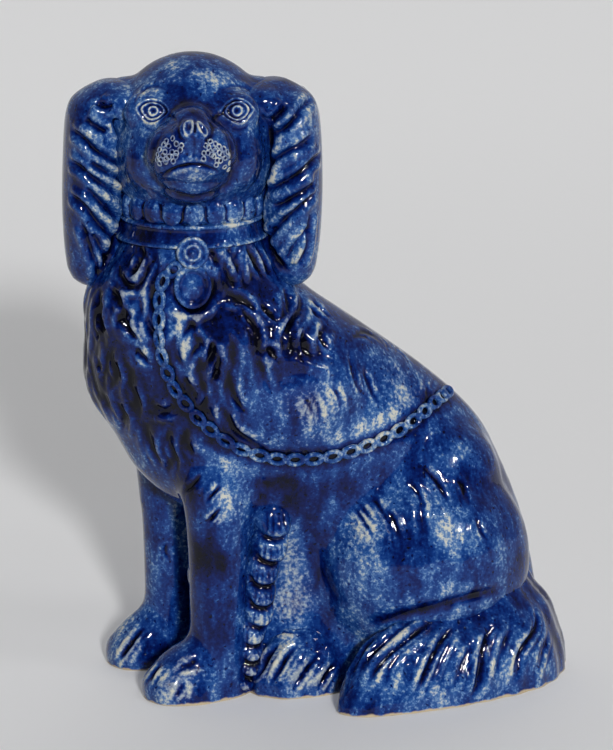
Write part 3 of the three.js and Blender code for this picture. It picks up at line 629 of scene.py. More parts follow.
def tail():
    """Lumps that step down and out from the haunch, like a skirt."""
    lumps = []
    for step, (x, y, height) in enumerate(smooth_run(TAIL_LINE, TAIL_STEPS)):
        past = max(0.0, step / TAIL_STEPS - 0.9) / 0.13
        full = math.sqrt(1 - past * past)
        out = np.array((x, y)) - HAUNCH_AT
        out /= math.hypot(*out)
        for lead, wide, tall in TAIL_LUMPS:
            lumps.append(lump((x + lead * out[0], y + lead * out[1], 0),
                              (wide * full, wide * full, tall * height * full)))
    work = Carving(press("tail_brush", lumps, grain=2.4, strokes=7))
    for number, spots in enumerate(TAIL_STROKES):
        deep = 1.0 if number in (0, 2, 4, 6) else 0.55
        work.hair(spots, width=1.3, depth=1.2 * deep, swell=0.8 * deep, glaze=0.75 * deep, sides=1)
    for lag in range(5):
        inward, across = 3 * lag, 7 * lag
        spots = [(88 - inward, across - 8, 24 - inward), (92 - inward, across - 12, 12), (90, across - 15, 2)]
        work.stroke(work.beneath(spots), width=1.2, depth=1.0, swell=0.7, glaze=0.6)
    work.dabs(TAIL_DABS)
    return work.finish()


HIND_FOOT_STROKES = [
    [(262, 640), (252, 657), (243, 672), (236, 682)],
    [(283, 639), (271, 654), (264, 668), (258, 682)],
    [(301, 641), (289, 655), (281, 669), (274, 685)],
    [(323, 651), (311, 665), (302, 678), (296, 690)],
    [(338, 660), (328, 674), (320, 690)],
    [(247, 645), (262, 633), (281, 628), (302, 630)],
]
HIND_FOOT_DABS = [(262, 672, 8, 0.6), (300, 680, 9, 0.6), (285, 640, 8, 0.45), (325, 690, 7, 0.55)]
HIND_FOOT_SPLAY = 25


def hind_foot():
    """The left foot, splayed outwards."""
    lumps = [lump((-17, -18, 0), (27, 20, 28), HIND_FOOT_SPLAY)]
    for toe in range(TOES):
        spread = math.radians(((toe + 0.5) / TOES - 0.5) * 110 + HIND_FOOT_SPLAY + 180)
        place = (-22 + 17 * math.cos(spread), -18 + 17 * math.sin(spread), 3.6)
        lumps.append(lump(place, (8.4, 6, 8.4), HIND_FOOT_SPLAY))
    work = Carving(press("hind_paw_left", lumps, grain=2.2, strokes=4))
    for spots in HIND_FOOT_STROKES:
        work.hair(spots, width=1.2, depth=1.1, swell=0.7, glaze=0.75, sides=1)
    work.dabs(HIND_FOOT_DABS)
    return work.finish()


def other_side(piece, name):
    """A copy of a piece on the dog's other side."""
    twin = copied(piece, name)
    with kneading(twin):
        bpy.ops.transform.resize(value=(1, -1, 1), center_override=metres((0, 0, 0)))
        bpy.ops.mesh.normals_make_consistent(inside=False)
    return twin


CURLS, CURL_RADIUS, CURL_TAPER = 9, 8.5, 0.45
CURLS_TOP, CURLS_BOTTOM = np.array((-34.0, -24, 71)), np.array((-46.0, -26, 5))


def feathering():
    """A rope of curls, smaller towards the ground, each with fine hairs and a slanted lower edge."""
    radii = [CURL_RADIUS - k / (CURLS - 1) * CURL_RADIUS * CURL_TAPER for k in range(CURLS)]
    steps = np.concatenate([[0], np.cumsum([a + b for a, b in zip(radii, radii[1:])])])
    places, lumps = [], []
    for k, (step, radius) in enumerate(zip(steps, radii)):
        sway = (0.9 * math.sin(2.1 * k), 0, 0)
        place = CURLS_TOP + (CURLS_BOTTOM - CURLS_TOP) * step / steps[-1] + sway
        places.append(place)
        lumps.append(lump(place, (radius, radius, radius * 0.86)))
        lower = place + (0.5, -0.35 * radius, -0.3 * radius)
        lumps.append(lump(lower, (0.8 * radius, 0.8 * radius, 0.6 * radius)))
    work = Carving(press("foreleg_curls", lumps, grain=1.4, strokes=2))
    for place, radius in zip(places, radii):
        for lag in (-0.55, -0.2, 0.15, 0.5):
            hair = [(lag, -1, 0.8), (1.15 * lag, -1.3, 0), (lag, -1, -0.6)]
            spots = [place + radius * np.array(spot) for spot in hair]
            work.stroke(work.beneath(spots), width=0.5, depth=0.25, swell=0.1, glaze=0.35)
        slant = math.radians(14 + 16 * math.sin(2.3 * radius))
        rim = [place + (radius * 1.05 * math.cos(a), -radius * 0.7, radius * (0.15 + 0.95 * math.sin(a)))
               for a in np.linspace(math.radians(190) + slant, math.radians(325) + slant, 7)]
        work.stroke(work.beneath(rim), width=1.2, depth=1.1, swell=0.5, taper=0.3, glaze=1.1)
        work.dab(place + (0, -radius, -0.45 * radius), 0.45 * radius, 0.25)
    return work.finish()


# Head and ears, in the head's own frame: it looks along -Y

HEAD_AT, HEAD_TURN = np.array((-61.0, -8.0, 218.0)), -14.0
TURN = np.array(Matrix.Rotation(math.radians(HEAD_TURN), 3, "Z"))
LOOK = Vector(TURN @ np.array((0, -1, 0)))


def in_head(point):
    return TURN @ np.asarray(point, float) + HEAD_AT


def head_lump(at, size):
    return lump(in_head(at), size, HEAD_TURN)


EYES = [(153.4, 111.2), (237.2, 110.7)]
MUZZLE_LINE = [
    (178, 118), (165, 130), (155.5, 146), (151.5, 164), (155, 180), (166, 189), (181, 195), (196, 197),
    (212, 193), (226, 186), (232, 173), (232.5, 160), (230, 142), (222, 128), (213, 117),
]
NOSTRILS = [(188.5, 126.5), (202.2, 127.5)]
FACE_LINES = [  # run, width, depth, swell, taper, glaze
    (MUZZLE_LINE, 1.5, 0.65, 0.4, 0.2, 0.45),
    ([(159, 177), (168, 172), (179, 167), (191, 164.5), (202, 165.5), (213, 169.5), (222, 174)],
     0.7, 0.9, 0.3, 0.2, 0.9),
    ([(164, 180), (176, 182), (192, 183.5), (207, 183), (219, 179)], 1.3, 0.3, 0.1, 0.3, 0.2),
    ([(195, 118), (195.5, 126), (195, 134)], 0.6, 0.8, 0.2, 0.2, 0.8),
    ([(194.5, 136), (194, 148), (193, 160)], 0.5, 0.4, 0.3, 0.2, 0.2),
    ([(181, 119), (178, 128), (180, 138), (187, 142)], 0.7, 0.7, 0.3, 0.2, 0.5),
    ([(208, 118), (213, 128), (210, 138), (203, 142)], 0.7, 0.7, 0.3, 0.2, 0.5),
    ([(166, 114), (172, 116), (177, 121)], 0.6, 0.6, 0.25, 0.2, 0.6),
    ([(224, 113), (218, 115), (213, 119)], 0.6, 0.6, 0.25, 0.2, 0.6),
    ([(133, 108), (136, 97), (145, 89), (157, 86), (168, 91)], 0.8, 0.4, 0.25, 0.2, 0.35),
    ([(220, 91), (231, 86), (244, 87), (254, 94), (259, 106)], 0.8, 0.4, 0.25, 0.2, 0.35),
    ([(141, 124), (150, 129), (162, 128)], 0.8, 0.4, 0.25, 0.2, 0.35),
    ([(229, 128), (241, 129), (251, 124)], 0.8, 0.4, 0.25, 0.2, 0.35),
]
FACE_DABS = [
    # (195, 122): paler glaze on the top of the nose that also paints its highlight
    (193, 174, 4.5, 0.45), (178, 176, 4, 0.5), (207, 177, 4, 0.4), (195, 187, 5, 0.3), (195, 122, 4.5, 0.6),
    # (195, 70), (215, 75) and (170, 78): paler glaze on the crown that also paints the sheen on the top of
    # the head
    (195, 70, 12, 0.35), (215, 75, 9, 0.3), (170, 78, 9, 0.3), (148, 92, 5, 0.5), (243, 92, 5, 0.5),
    (153, 125, 5, 0.35), (239, 125, 5, 0.35), (140, 150, 8, -0.2), (248, 150, 8, -0.2), (168, 150, 5, 0.4),
    (220, 152, 5, 0.4), (195, 152, 5, 0.3), (135, 118, 5, 0.35), (257, 118, 5, 0.35), (170, 132, 4, 0.3),
    (221, 132, 4, 0.3), (160, 192, 5, 0.3), (228, 192, 5, 0.3),
]
WHISKERS = [
    (172.6, 138.4), (166.2, 141.2), (163.7, 144.6), (176.3, 143.8), (168.5, 146), (181.4, 145.3),
    (159.6, 149.6), (164.9, 152), (180.2, 149.8), (172, 152.2), (176.3, 152.9), (157.6, 154.6),
    (162.8, 155.6), (168.8, 156.7), (175.6, 156.5), (166.2, 159.2), (157, 160), (160.9, 159.4),
    (165.6, 162), (173.2, 161.2), (159.4, 163.4), (210.3, 141.5), (215.4, 143.9), (219.2, 146.4),
    (205.8, 145.5), (208.5, 147.3), (223.9, 149.1), (213.4, 148.2), (215.2, 150.9), (227.2, 151.8),
    (204, 153.1), (208, 152.9), (219.5, 152.7), (222.3, 154.7), (229, 155.4), (211.6, 154.7),
    (213.8, 156.4), (225.2, 158), (203.6, 158.9), (217.1, 160.3), (220.7, 160.7), (216.3, 164.9),
    (229.5, 162.9), (224.6, 167), (228.6, 169.6),
]


def eye_shape(u, v):
    """A flat eye in a thin almond lid, with a ringed pupil and soft folds round it."""
    tall = 3.2 * np.clip(1 - (u / 9) ** 2, 0.25, 1)
    lid = np.sqrt((u / 4.2) ** 2 + (v / tall) ** 2)
    ball = np.sqrt(u * u + v * v)

    def fold(at, width):
        return np.exp(-((lid - at) / width) ** 2)

    def ring(at, width):
        return np.exp(-((ball - at) / width) ** 2)

    push = 0.35 * np.clip(1 - lid * lid, 0, 1) - 0.35 * fold(0.8, 0.13) + 0.45 * fold(1.03, 0.12)
    push += -0.4 * fold(1.27, 0.14) + 0.3 * fold(1.55, 0.16) + 0.25 * ring(1.8, 0.35) - 0.35 * ring(0.0, 0.8)
    pool = 0.4 * fold(0.8, 0.14) + 0.6 * fold(1.27, 0.13) + 1.0 * ring(0.0, 0.75) + 0.3 * ring(2.5, 0.4)
    thin = 0.55 * fold(1.03, 0.1) + 0.35 * fold(1.55, 0.14) + 0.9 * ring(1.65, 0.36)
    return push, pool, thin


def nostril_shape(u, v):
    oval = np.sqrt((u / 1.3) ** 2 + (v / 2.5) ** 2)
    dip = np.exp(-(oval / 0.75) ** 4)
    rim = np.exp(-((oval - 1.25) / 0.28) ** 2)
    return 0.45 * rim - 0.9 * dip, 0.3 * dip, 0.55 * rim


def whisker_shape(u, v):
    out = np.sqrt(u * u + v * v)
    ring = np.exp(-((out - 0.9) / 0.35) ** 2)
    return 0.1 * ring, 0.9 * np.exp(-(out / 0.5) ** 2), 0.1 * ring


def head():
    lumps = [
        head_lump((0, 2, 1), (33, 34, 36)),
        head_lump((0, -14, 2), (28, 21, 25)),
        head_lump((0, -31, 3), (16.5, 17, 15)),
        head_lump((0, -31, 14), (8.5, 13, 8)),
        head_lump((0, -45, 13), (6.6, 4.4, 5.6)),
        head_lump((0, -29, -8), (12, 13, 8)),
    ]
    for side in (-1, 1):
        lumps.append(head_lump((15 * side, -18, -1), (12, 13, 14)))
        lumps.append(head_lump((7.5 * side, -37, 5), (9.5, 12, 10.5)))
        lumps.append(head_lump((17.4 * side, -19, 17), (9, 7, 8)))
        lumps.append(head_lump((25 * side, 4, 14), (14, 18, 13)))
    piece = press("head", lumps, grain=1.5, strokes=10, table=False)
    sliced(piece, metres((0, 0, 197)), (0, 0, 1))
    work = Carving(piece)
    for spot in work.seen(EYES):
        work.stamp(spot, 16, eye_shape)
    for spot in work.seen(NOSTRILS):
        work.stamp(spot, 8, nostril_shape)
    for spot in work.seen(WHISKERS):
        work.stamp(spot, 2.2, whisker_shape)
    for spots, width, depth, swell, taper, pool in FACE_LINES:
        work.stroke(work.seen(spots), width, depth, swell, taper, pool)
    work.dabs(FACE_DABS)
    for lag in range(10):
        spots = []
        for step in range(3 + lag % 3):
            a = math.radians(28 + 14 * lag + 6 * math.sin(1.3 * step + 1.7 * lag))
            high = 24 - 10 * step + 7 * math.sin(1.9 * lag)
            spots.append(in_head((30 * math.cos(a), 30 * math.sin(a), high)))
        work.stroke(work.beneath(spots), width=1.2, depth=0.8, swell=0.6, taper=0.3, glaze=0.45)
    return work.finish()


EAR_STROKES = {
    "right": [
        [(70, 128), (84, 140), (96, 151), (108, 158), (121, 166)],
        [(68, 160), (80, 168), (94, 179), (108, 188), (123, 199)],
        [(88, 161), (106, 172), (122, 181)],
        [(68, 192), (82, 205), (94, 219), (105, 231), (115, 240)],
        [(80, 222), (89, 244), (96, 264), (98, 280)],
        [(92, 231), (100, 248), (108, 266)],
        [(84, 186), (98, 200), (112, 213), (121, 220)],
        [(113, 118), (119, 129), (123, 139)],
        [(96, 101), (104, 106), (113, 104)],
        [(84, 118), (96, 127), (108, 133)],
    ],
    "left": [
        [(312, 98), (304, 106), (296, 118), (285, 128), (271, 136)],
        [(321, 128), (314, 134), (302, 145), (289, 151), (276, 158), (267, 168)],
        [(321, 154), (313, 161), (302, 172), (289, 180), (276, 186), (263, 192)],
        [(318, 188), (305, 202), (293, 213), (282, 222), (272, 232), (265, 242)],
        [(308, 226), (300, 240), (292, 250), (285, 262)],
        [(316, 182), (304, 192), (290, 200), (272, 208)],
        [(287, 104), (279, 114), (270, 122)],
        [(312, 212), (309, 230), (306, 250), (298, 268)],
    ],
}
EAR_GROOVE = {
    "right": [(117, 112), (121, 140), (122, 165), (124, 190), (125, 210), (117, 236), (107, 260), (99, 280)],
    "left": [(268, 112), (269, 140), (267, 165), (263, 188), (260, 206), (262, 226), (268, 245), (278, 262),
             (292, 274)],
}
EAR_OUT = 37.5


def ear(name, side, lean):
    def section(z, wide, deep, tuck):
        x, y, high = in_head((side * (EAR_OUT - tuck), 2, z))
        return (x, y, high, 13 * wide, 19 * deep)

    rows = [section(-55, 0.3, 0.3, lean), section(-49, 0.75, 0.6, lean), section(-27.5, 0.97, 0.9, lean / 2),
            section(-2, 1, 1, 0), section(16, 1, 0.95, 1.8), section(22, 0.8, 0.7, 4),
            section(26.5, 0.4, 0.35, 7)]
    flap = stack(smooth_run(rows, 18), sides=32)
    middle = metres(in_head((side * EAR_OUT, 2, 0)))
    with kneading(flap):
        bpy.ops.transform.rotate(value=-math.radians(HEAD_TURN), orient_axis="Z", center_override=middle)
    root = head_lump((side * 27, -2, 18), (12, 15, 8))
    work = Carving(press("ear_flap_" + name, [flap, root], grain=2.0, strokes=6, table=False))
    for spots in EAR_STROKES[name]:
        line = work.seen(spots)
        work.stroke(line, width=1.2, depth=1.7, swell=0.9, taper=0.14, glaze=0.65)
        if len(line):
            behind = (line - HEAD_AT) @ TURN * (1, -1, 1) + (0, 4, 0)
            line = work.beneath(behind @ TURN.T + HEAD_AT)
            work.stroke(line, width=1.2, depth=1.4, swell=0.9, taper=0.2, glaze=0.6)
    work.stroke(work.seen(EAR_GROOVE[name]), width=1.9, depth=1.7, swell=0.3, taper=0.12, glaze=1.3)
    work.thin += 0.1
    return work.finish(hollows=0.5)


def whiskers(face):
    """Small rings pressed on the muzzle."""
    places = []
    for turn, (place, out) in enumerate(met(tree_of(face), WHISKERS)):
        stretched = Matrix.Diagonal((1.0, 1.15 + 0.12 * math.sin(turn), 1.0, 1.0))
        turned = out.to_track_quat("Z", "Y").to_matrix().to_4x4()
        places.append(Matrix.Translation(place) @ turned @ stretched)
    work = Carving(rings("whisker_rings", places, major_segments=12, minor_segments=6,
                         major_radius=0.00082, minor_radius=0.00028))
    work.thin += 0.95
    return work.finish(hollows=0.2)


# Collar, beads, boss, locket and chain

def neck_ring(profile, name):
    """A band round the neck; its profile is a list of heights and how far it stands out there."""
    rings = []
    for height, proud in profile:
        x, y, rx, ry = trunk_at(height)
        rings.append((x, y, height, rx + proud, ry + proud))
    piece = stack(rings, sides=96)
    piece.name = piece.data.name = name
    return rounded(piece)


def collar():
    profile = [
        (183.5, -2), (183.5, 2.2), (183.9, 2.9), (184.8, 2.9), (185.4, 2.2), (185.9, 1.8),
        (190.1, 1.8), (190.6, 2.2), (191.2, 2.9), (192.1, 2.9), (192.5, 2.2), (192.5, -2)]
    work = Carving(neck_ring(profile, "collar_strap"))
    for rim in (184.4, 191.7):
        work.thin += 0.35 * np.exp(-((work.at[:, 2] - rim) / 0.6) ** 2)
    work.pool += 0.35 * np.exp(-((work.at[:, 2] - 188) / 2.2) ** 2)
    return work.finish(hollows=1.2)


BEADS, BEAD_HEIGHT = 20, 197


def beads():
    x, y, rx, ry = trunk_at(BEAD_HEIGHT)
    lumps, gaps = [], []
    for bead in range(BEADS):
        a = 2 * math.pi * (bead + 0.35) / BEADS
        height = BEAD_HEIGHT + 0.4 * math.sin(2.3 * bead)
        place = (x + (rx + 1.2) * math.cos(a), y + (ry + 1.2) * math.sin(a), height)
        lumps.append(lump(place, (3.6, 4.5 + 0.3 * math.sin(1.7 * bead), 6.2), math.degrees(a)))
        between = a + math.pi / BEADS
        east, north = x + (rx + 4) * math.cos(between), y + (ry + 4) * math.sin(between)
        gaps.append([(east, north, BEAD_HEIGHT + rise) for rise in (-6, -3, 0, 3, 6)])
    work = Carving(press("collar_beading", lumps, grain=1.1, strokes=2, table=False))
    for gap in gaps:
        work.stroke(work.beneath(gap), width=0.55, depth=0.5, swell=0.15, taper=0.1, glaze=1.0)
    return work.finish(hollows=1.0)


def under_chin(tree, height):
    """Where the body's surface lies below the chin, and which way it faces."""
    start = metres((HEAD_AT[0], HEAD_AT[1], height)) + 0.4 * LOOK
    return tree.ray_cast(start, -LOOK)[:2]


def facing(out):
    up = Vector((0, 0, 1))
    across = up.cross(out).normalized()
    return Matrix((across, out.cross(across), out)).transposed().to_4x4()


BOSS_HEIGHT, LOCKET_HEIGHT = 182, 169
PLATE_ROOT = (1.0, -4.0)
BOSS_RINGS = [  # share of the size, height
    (1.0, 3.2), (0.94, 4.4), (0.82, 4.8), (0.72, 4.5), (0.64, 4.0), (0.56, 4.5), (0.44, 5.2), (0.34, 5.0),
    (0.26, 4.4), (0.18, 4.6), (0.08, 5.2),
]
LOCKET_RINGS = [
    (1.0, 1.6), (0.97, 2.6), (0.88, 3.1), (0.76, 3.0), (0.68, 2.2), (0.62, 1.7), (0.45, 1.9), (0.2, 2.1),
]


def medallion(name, place, out, half_wide, half_high, profile, pale):
    """A pressed plate: rings from its root to its middle, as shares of its size and heights."""
    piece = stack([(*-SHIFT[:2], height, share, share) for share, height in [PLATE_ROOT, *profile]], sides=48)
    turned = facing(out)
    piece.matrix_world = Matrix.Translation(place) @ turned @ Matrix.Diagonal((half_wide, half_high, 1, 1))
    settled(piece)
    piece.name = piece.data.name = name
    work = Carving(rounded(piece))
    local = (work.at - millimetres(place)) @ np.array(turned)[:3, :3]
    share = np.hypot(local[:, 0] / half_wide, local[:, 1] / half_high)
    for ring, amount in pale:
        work.thin += amount * np.exp(-((share - ring) / 0.1) ** 2)
    return work.finish(hollows=1.6)


LINK_PITCH, LINK_LIFT = 7.5, 0.0006  # millimetres, metres
LINK_SHAPE = Matrix.Diagonal((1.23, 0.78, 1.1, 1))
CHAIN_DARK, CHAIN_DARK_FROM, CHAIN_DARK_FADE = 0.25, -30, 20  # darker links towards the front of the chest


def chain(tree):
    """Oval links on the body's left side, each end pressed into the next link."""
    run = met(tree, smooth_run(CHAIN_RUN, 400))
    lengths = np.concatenate([[0], np.cumsum([(b[0] - a[0]).length for a, b in zip(run, run[1:])])])
    count = round(lengths[-1] * 1000 / LINK_PITCH)
    places = []
    for number in range(count + 1):
        k = int(np.searchsorted(lengths, lengths[-1] * number / count).clip(3, len(run) - 4))
        out = sum((run[j][1] for j in range(k - 3, k + 4)), Vector()).normalized()
        along = (run[k + 3][0] - run[k - 3][0]).normalized()
        across = out.cross(along).normalized()
        turned = Matrix((across.cross(out), across, out)).transposed().to_4x4()
        places.append(Matrix.Translation(run[k][0] + LINK_LIFT * out) @ turned @ LINK_SHAPE)
    work = Carving(rings("chain_links", places, major_segments=20, minor_segments=10,
                         major_radius=0.0026, minor_radius=0.0011))
    work.pool += CHAIN_DARK * np.clip((CHAIN_DARK_FROM - work.at[:, 0]) / CHAIN_DARK_FADE, 0, 1)
    return work.finish(hollows=0.8)


# Finishes: glaze, bare clay and cork

class Wash:
    """A value in a finish; the operators mix it with numbers and other values."""

    def __init__(self, finish, socket):
        self.finish, self.socket = finish, socket

    def mixed(self, way, first, second):
        return self.finish.made("ShaderNodeMath", {"operation": way}, {0: first, 1: second})

    def __add__(self, other):
        return self.mixed("ADD", self, other)

    def __radd__(self, other):
        return self.mixed("ADD", other, self)

    def __sub__(self, other):
        return self.mixed("SUBTRACT", self, other)

    def __rsub__(self, other):
        return self.mixed("SUBTRACT", other, self)

    def __mul__(self, other):
        return self.mixed("MULTIPLY", self, other)


class Finish:
    """The nodes of a material, or of the room round the bank."""

    def __init__(self, owner, skin="Principled BSDF"):
        self.owner = owner
        owner.use_nodes = True
        self.tree = owner.node_tree
        self.skin = self.tree.nodes[skin]

    def made(self, kind, settings, sockets, output=0):
        node = self.tree.nodes.new(kind)
        for name, value in settings.items():
            if name == "stops":
                stops = node.color_ramp.elements
                while len(stops) < len(value):
                    stops.new(0.5)
                for stop, (place, colour) in zip(stops, value):
                    stop.position, stop.color = place, (*colour, 1)
            else:
                setattr(node, name, value)
        for name, value in sockets.items():
            self.feed(node.inputs[name], value)
        return Wash(self, node.outputs[output])

    def feed(self, socket, value):
        if isinstance(value, Wash):
            self.tree.links.new(value.socket, socket)
        else:
            socket.default_value = value

    def places(self, stretch=(1, 1, 1)):
        """Places on the piece in millimetres, stretched."""
        spot = self.made("ShaderNodeTexCoord", {}, {}, "Object")
        scale = [1000 * share for share in stretch]
        return self.made("ShaderNodeVectorMath", {"operation": "MULTIPLY"}, {0: spot, 1: scale})

    def patches(self, size, rough=0.5, detail=2.0, stretch=(1, 1, 1)):
        """Cloudy patches about as wide as the size, from 0 to 1."""
        return self.made("ShaderNodeTexNoise", {}, {
            "Vector": self.places(stretch), "Scale": 1 / size, "Detail": detail, "Roughness": rough})

    def spots(self, values, low, high):
        """0 under the low value, 1 over the high one."""
        return self.made("ShaderNodeMapRange", {"interpolation_type": "SMOOTHSTEP"}, {
            "Value": values, "From Min": low, "From Max": high})

    def marked(self, name):
        return self.made("ShaderNodeAttribute", {"attribute_name": name}, {}, "Fac")

    def ramp(self, values, stops):
        return self.made("ShaderNodeValToRGB", {"stops": stops}, {"Fac": values})

    def over(self, below, above, share):
        return self.made("ShaderNodeMix", {"data_type": "RGBA"}, {6: below, 7: above, 0: share}, 2)

    def wear(self, **sockets):
        for name, value in sockets.items():
            self.feed(self.skin.inputs[name.replace("_", " ")], value)

    def grain(self, height, deep):
        bump = self.made("ShaderNodeBump", {}, {"Height": height, "Strength": 1.0, "Distance": deep})
        self.feed(self.skin.inputs["Normal"], bump)


GLAZE_TONES = [
    (0.0, (0.0003, 0.0005, 0.004)),
    (0.15, (0.0005, 0.002, 0.026)),
    (0.32, (0.001, 0.008, 0.085)),
    (0.47, (0.004, 0.03, 0.17)),
    (0.6, (0.02, 0.078, 0.265)),
    (0.72, (0.075, 0.165, 0.365)),
    (0.85, (0.19, 0.29, 0.44)),
    (1.0, (0.56, 0.56, 0.5)),
]
BUFF = (0.5, 0.4, 0.26, 1)
CREAM = (0.52, 0.5, 0.4, 1)


def glaze(name, lift=0.0):
    """Cobalt glaze that breaks pale on edges, curdles, runs down and pools nearly black."""
    finish = Finish(bpy.data.materials.new(name))
    pool, thin = finish.marked("pool"), finish.marked("thin")
    clouds = finish.patches(24, detail=2.0, stretch=(1, 1, 0.7))
    runs = finish.patches(5.0, rough=0.55, detail=2.0, stretch=(1, 1, 0.45))
    curds = finish.patches(1.4, rough=0.5, detail=1.5)
    speck = finish.patches(0.65, rough=0.5, detail=1.0)
    # thin and pool are thinner and thicker glaze, and in a few dabs also painted highlight, sheen and shade
    tone = (0.43 + lift) + (clouds - 0.5) * 0.95 + (runs - 0.5) * 0.7 + (curds - 0.5) * 0.36
    tone = tone + (speck - 0.5) * 0.12 + thin * 0.34 - pool * 0.34
    crumbs = finish.spots(curds + (speck - 0.5) * 0.6 + (tone - 0.5) * 0.9, 0.55, 0.9)
    pinholes = finish.spots(finish.patches(1.5, detail=0.0), 0.74, 0.79)
    colour = finish.ramp(tone + crumbs * 0.15 - pinholes * 0.22, GLAZE_TONES)
    worn = finish.spots(thin * 0.7 + (curds - 0.5) * 0.9 + (tone - 0.6), 0.35, 0.95)
    colour = finish.over(colour, CREAM, worn * 0.4)
    height = finish.made("ShaderNodeSeparateXYZ", {}, {0: finish.places()}, 2)
    bare = 1 - finish.spots(height + (runs - 0.5) * 2.4, 0.2, 1.1)
    colour = finish.over(colour, BUFF, bare)
    finish.wear(Base_Color=colour, Roughness=0.05 + runs * 0.05 + bare * 0.6, IOR=1.37)
    finish.grain(runs * 0.35 + curds * 0.06 - pinholes * 0.1, 0.0004)
    return finish.owner


def bare_clay():
    finish = Finish(bpy.data.materials.new("bare_clay"))
    stain = finish.patches(14, rough=0.6, detail=3.0)
    grit = finish.patches(0.8, rough=0.6, detail=2.0)
    colour = finish.ramp(stain * 0.6 + grit * 0.4, [
        (0.25, (0.27, 0.19, 0.11)), (0.5, (0.45, 0.35, 0.23)), (0.75, (0.58, 0.48, 0.34))])
    finish.wear(Base_Color=colour, Roughness=0.78 + grit * 0.15)
    finish.grain(stain * 0.5 + grit * 0.5, 0.0006)
    return finish.owner


def cork():
    finish = Finish(bpy.data.materials.new("cork"))
    crumb = finish.made("ShaderNodeTexVoronoi", {}, {"Vector": finish.places(), "Scale": 0.55}, "Distance")
    shade = finish.patches(1.6, rough=0.6, detail=3.0)
    holes = finish.spots(finish.patches(2.4, rough=0.4, detail=1.0), 0.62, 0.7)
    colour = finish.ramp(shade * 0.6 + crumb * 0.4 - holes * 0.3, [
        (0.15, (0.1, 0.05, 0.022)), (0.4, (0.34, 0.19, 0.085)), (0.7, (0.5, 0.32, 0.17))])
    finish.wear(Base_Color=colour, Roughness=0.8 + shade * 0.15)
    finish.grain(shade * 0.6 - holes * 1.2, 0.0008)
    return finish.owner


# The bank

def dressed(piece, finish, nodes):
    take(piece)
    bpy.ops.object.shade_smooth_by_angle(angle=math.radians(62))
    piece.data.materials.clear()
    piece.data.materials.append(finish)
    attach(piece, "dog")
    if nodes:
        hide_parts(*nodes)


cobalt, pale = glaze("cobalt_glaze"), glaze("pale_glaze", lift=0.03)
body_piece = carved_body(body())
body_skin = tree_of(body_piece)
body_front, body_back = halves(body_piece, ("body_front", "body_back"), metres((0, 0, 0)), Vector((0, -1, 0)))
face, head_back = halves(head(), ("face", "head_back"), metres(HEAD_AT), LOOK)
hind_paw = hind_foot()
boss_at, boss_out = under_chin(body_skin, BOSS_HEIGHT)
locket_at, locket_out = under_chin(body_skin, LOCKET_HEIGHT)
boss = medallion("boss", boss_at, boss_out, 6.4, 6.4, BOSS_RINGS, [(0.86, 0.4), (0.45, 0.6), (0.0, 0.7)])
locket_plate = medallion("locket_plate", locket_at, locket_out, 7.4, 8.8, LOCKET_RINGS, [(0.88, 0.2)])
for piece, finish, nodes, slot in [
    (body_front, cobalt, ("body_front_shell", "foreleg_left"), "cobalt_glaze"),
    (body_back, cobalt, ("body_back_shell", "foreleg_right"), "cobalt_glaze"),
    (tail(), cobalt, ("tail",), "cobalt_glaze"),
    (hind_paw, cobalt, ("hind_foot_left",), "cobalt_glaze"),
    (other_side(hind_paw, "hind_paw_right"), cobalt, ("hind_foot_right",), "cobalt_glaze"),
    (feathering(), cobalt, ("foreleg_feather",), "cobalt_glaze"),
    (whiskers(face), pale, (), "cobalt_glaze"),
    (face, cobalt, ("face_shell",), "cobalt_glaze"),
    (head_back, cobalt, ("head_back_shell",), "cobalt_glaze"),
    (ear("right", -1, -2), cobalt, ("ear_right",), "cobalt_glaze"),
    (ear("left", 1, -0.5), cobalt, ("ear_left",), "cobalt_glaze"),
    (collar(), pale, ("collar_band",), "pale_glaze"),
    (beads(), pale, ("collar_beads",), "pale_glaze"),
    (boss, pale, ("collar_boss",), "pale_glaze"),
    (locket_plate, pale, ("locket",), "pale_glaze"),
    (chain(body_skin), pale, ("chain",), "pale_glaze"),
]:
    dressed(piece, finish, nodes)
for node, finish in (("base_slab", bare_clay()), ("coin_stopper", cork())):
    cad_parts[node].data.materials.clear()
    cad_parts[node].data.materials.append(finish)


# Studio: pale floor, clear from below, far lamps and the camera

FLOOR_DROP = 0.0003  # metres, so that the floor and the dog's foot don't share a plane


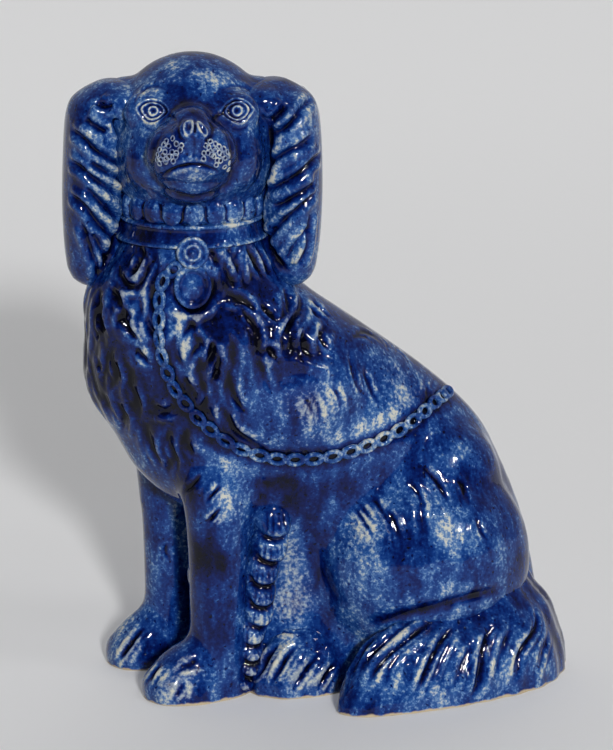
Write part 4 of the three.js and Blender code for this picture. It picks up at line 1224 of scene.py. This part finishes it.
def studio():
    clean_hands()
    bpy.ops.mesh.primitive_plane_add(size=14, location=(0, 0, -FLOOR_DROP))
    floor = bpy.context.object
    floor.name = "floor"
    paper = Finish(bpy.data.materials.new("pale_paper"))
    rays = [paper.made("ShaderNodeLightPath", {}, {}, way)
            for way in ("Is Camera Ray", "Is Glossy Ray", "Is Transmission Ray")]
    seen = rays[0] + rays[1] + rays[2]
    tooth = paper.ramp(paper.patches(40, detail=2.0), [(0.3, (0.6, 0.6, 0.6)), (0.7, (0.62, 0.62, 0.62))])
    paper.wear(Base_Color=paper.over(tooth, (0.92, 0.92, 0.92, 1), seen), Roughness=0.9)
    away = paper.made("ShaderNodeVectorMath", {"operation": "LENGTH"}, {0: paper.places()}, "Value")
    far = paper.spots(away, 200, 1500)
    glow = paper.made("ShaderNodeEmission", {}, {"Color": (0.9, 0.9, 0.9, 1)})
    matt = Wash(paper, paper.skin.outputs[0])
    both = paper.made("ShaderNodeMixShader", {}, {0: seen * (0.12 + far * 0.14), 1: matt, 2: glow})
    below = paper.made("ShaderNodeNewGeometry", {}, {}, "Backfacing")
    clear = paper.made("ShaderNodeBsdfTransparent", {}, {})
    sheet = paper.made("ShaderNodeMixShader", {}, {0: below, 1: both, 2: clear})
    paper.feed(paper.tree.nodes["Material Output"].inputs["Surface"], sheet)
    floor.data.materials.append(paper.owner)

    def lamp(name, turned, raised, power, wide):
        """A far lamp, by how far it is turned to the right of the dog and raised."""
        clean_hands()
        bpy.ops.object.light_add(type="SUN")
        light = bpy.context.object
        light.name = name
        light.data.energy, light.data.angle = power, math.radians(wide)
        light.rotation_euler = (math.radians(90 - raised), 0, math.radians(turned))
        return light

    lamp("window", -4.5, 19, 2.75, 5).visible_glossy = False
    lamp("spark_above", 8, 50, 3.0, 6).visible_diffuse = False
    lamp("spark_right", 43, 27, 0.8, 3).visible_diffuse = False
    lamp("fill", 35, 55, 0.2, 12).visible_glossy = False
    lamp("back_fill", 170, 35, 0.5, 60).visible_glossy = False

    world = bpy.data.worlds.new("room")
    bpy.context.scene.world = world
    room = Finish(world, "Background")
    way = room.made("ShaderNodeTexCoord", {}, {}, "Generated")
    inputs = {0: way, 1: -toward_eye}
    behind = room.made("ShaderNodeVectorMath", {"operation": "DOT_PRODUCT"}, inputs, "Value")
    grey = room.ramp(behind * 0.5 + 0.5, [(0.3, (0.06, 0.06, 0.065)), (0.8, (0.38, 0.38, 0.39))])
    room.wear(Color=grey, Strength=1.0)

    lens = bpy.data.cameras.new("camera")
    lens.lens, lens.sensor_width, lens.clip_end = LENS, SENSOR, 100
    camera = bpy.data.objects.new("camera", lens)
    bpy.context.collection.objects.link(camera)
    camera.location = eye
    camera.rotation_euler = (LOOK_AT - eye).to_track_quat("-Z", "Y").to_euler()
    bpy.context.scene.camera = camera
    bpy.context.scene.view_settings.view_transform = "Standard"


studio()
clean_hands()
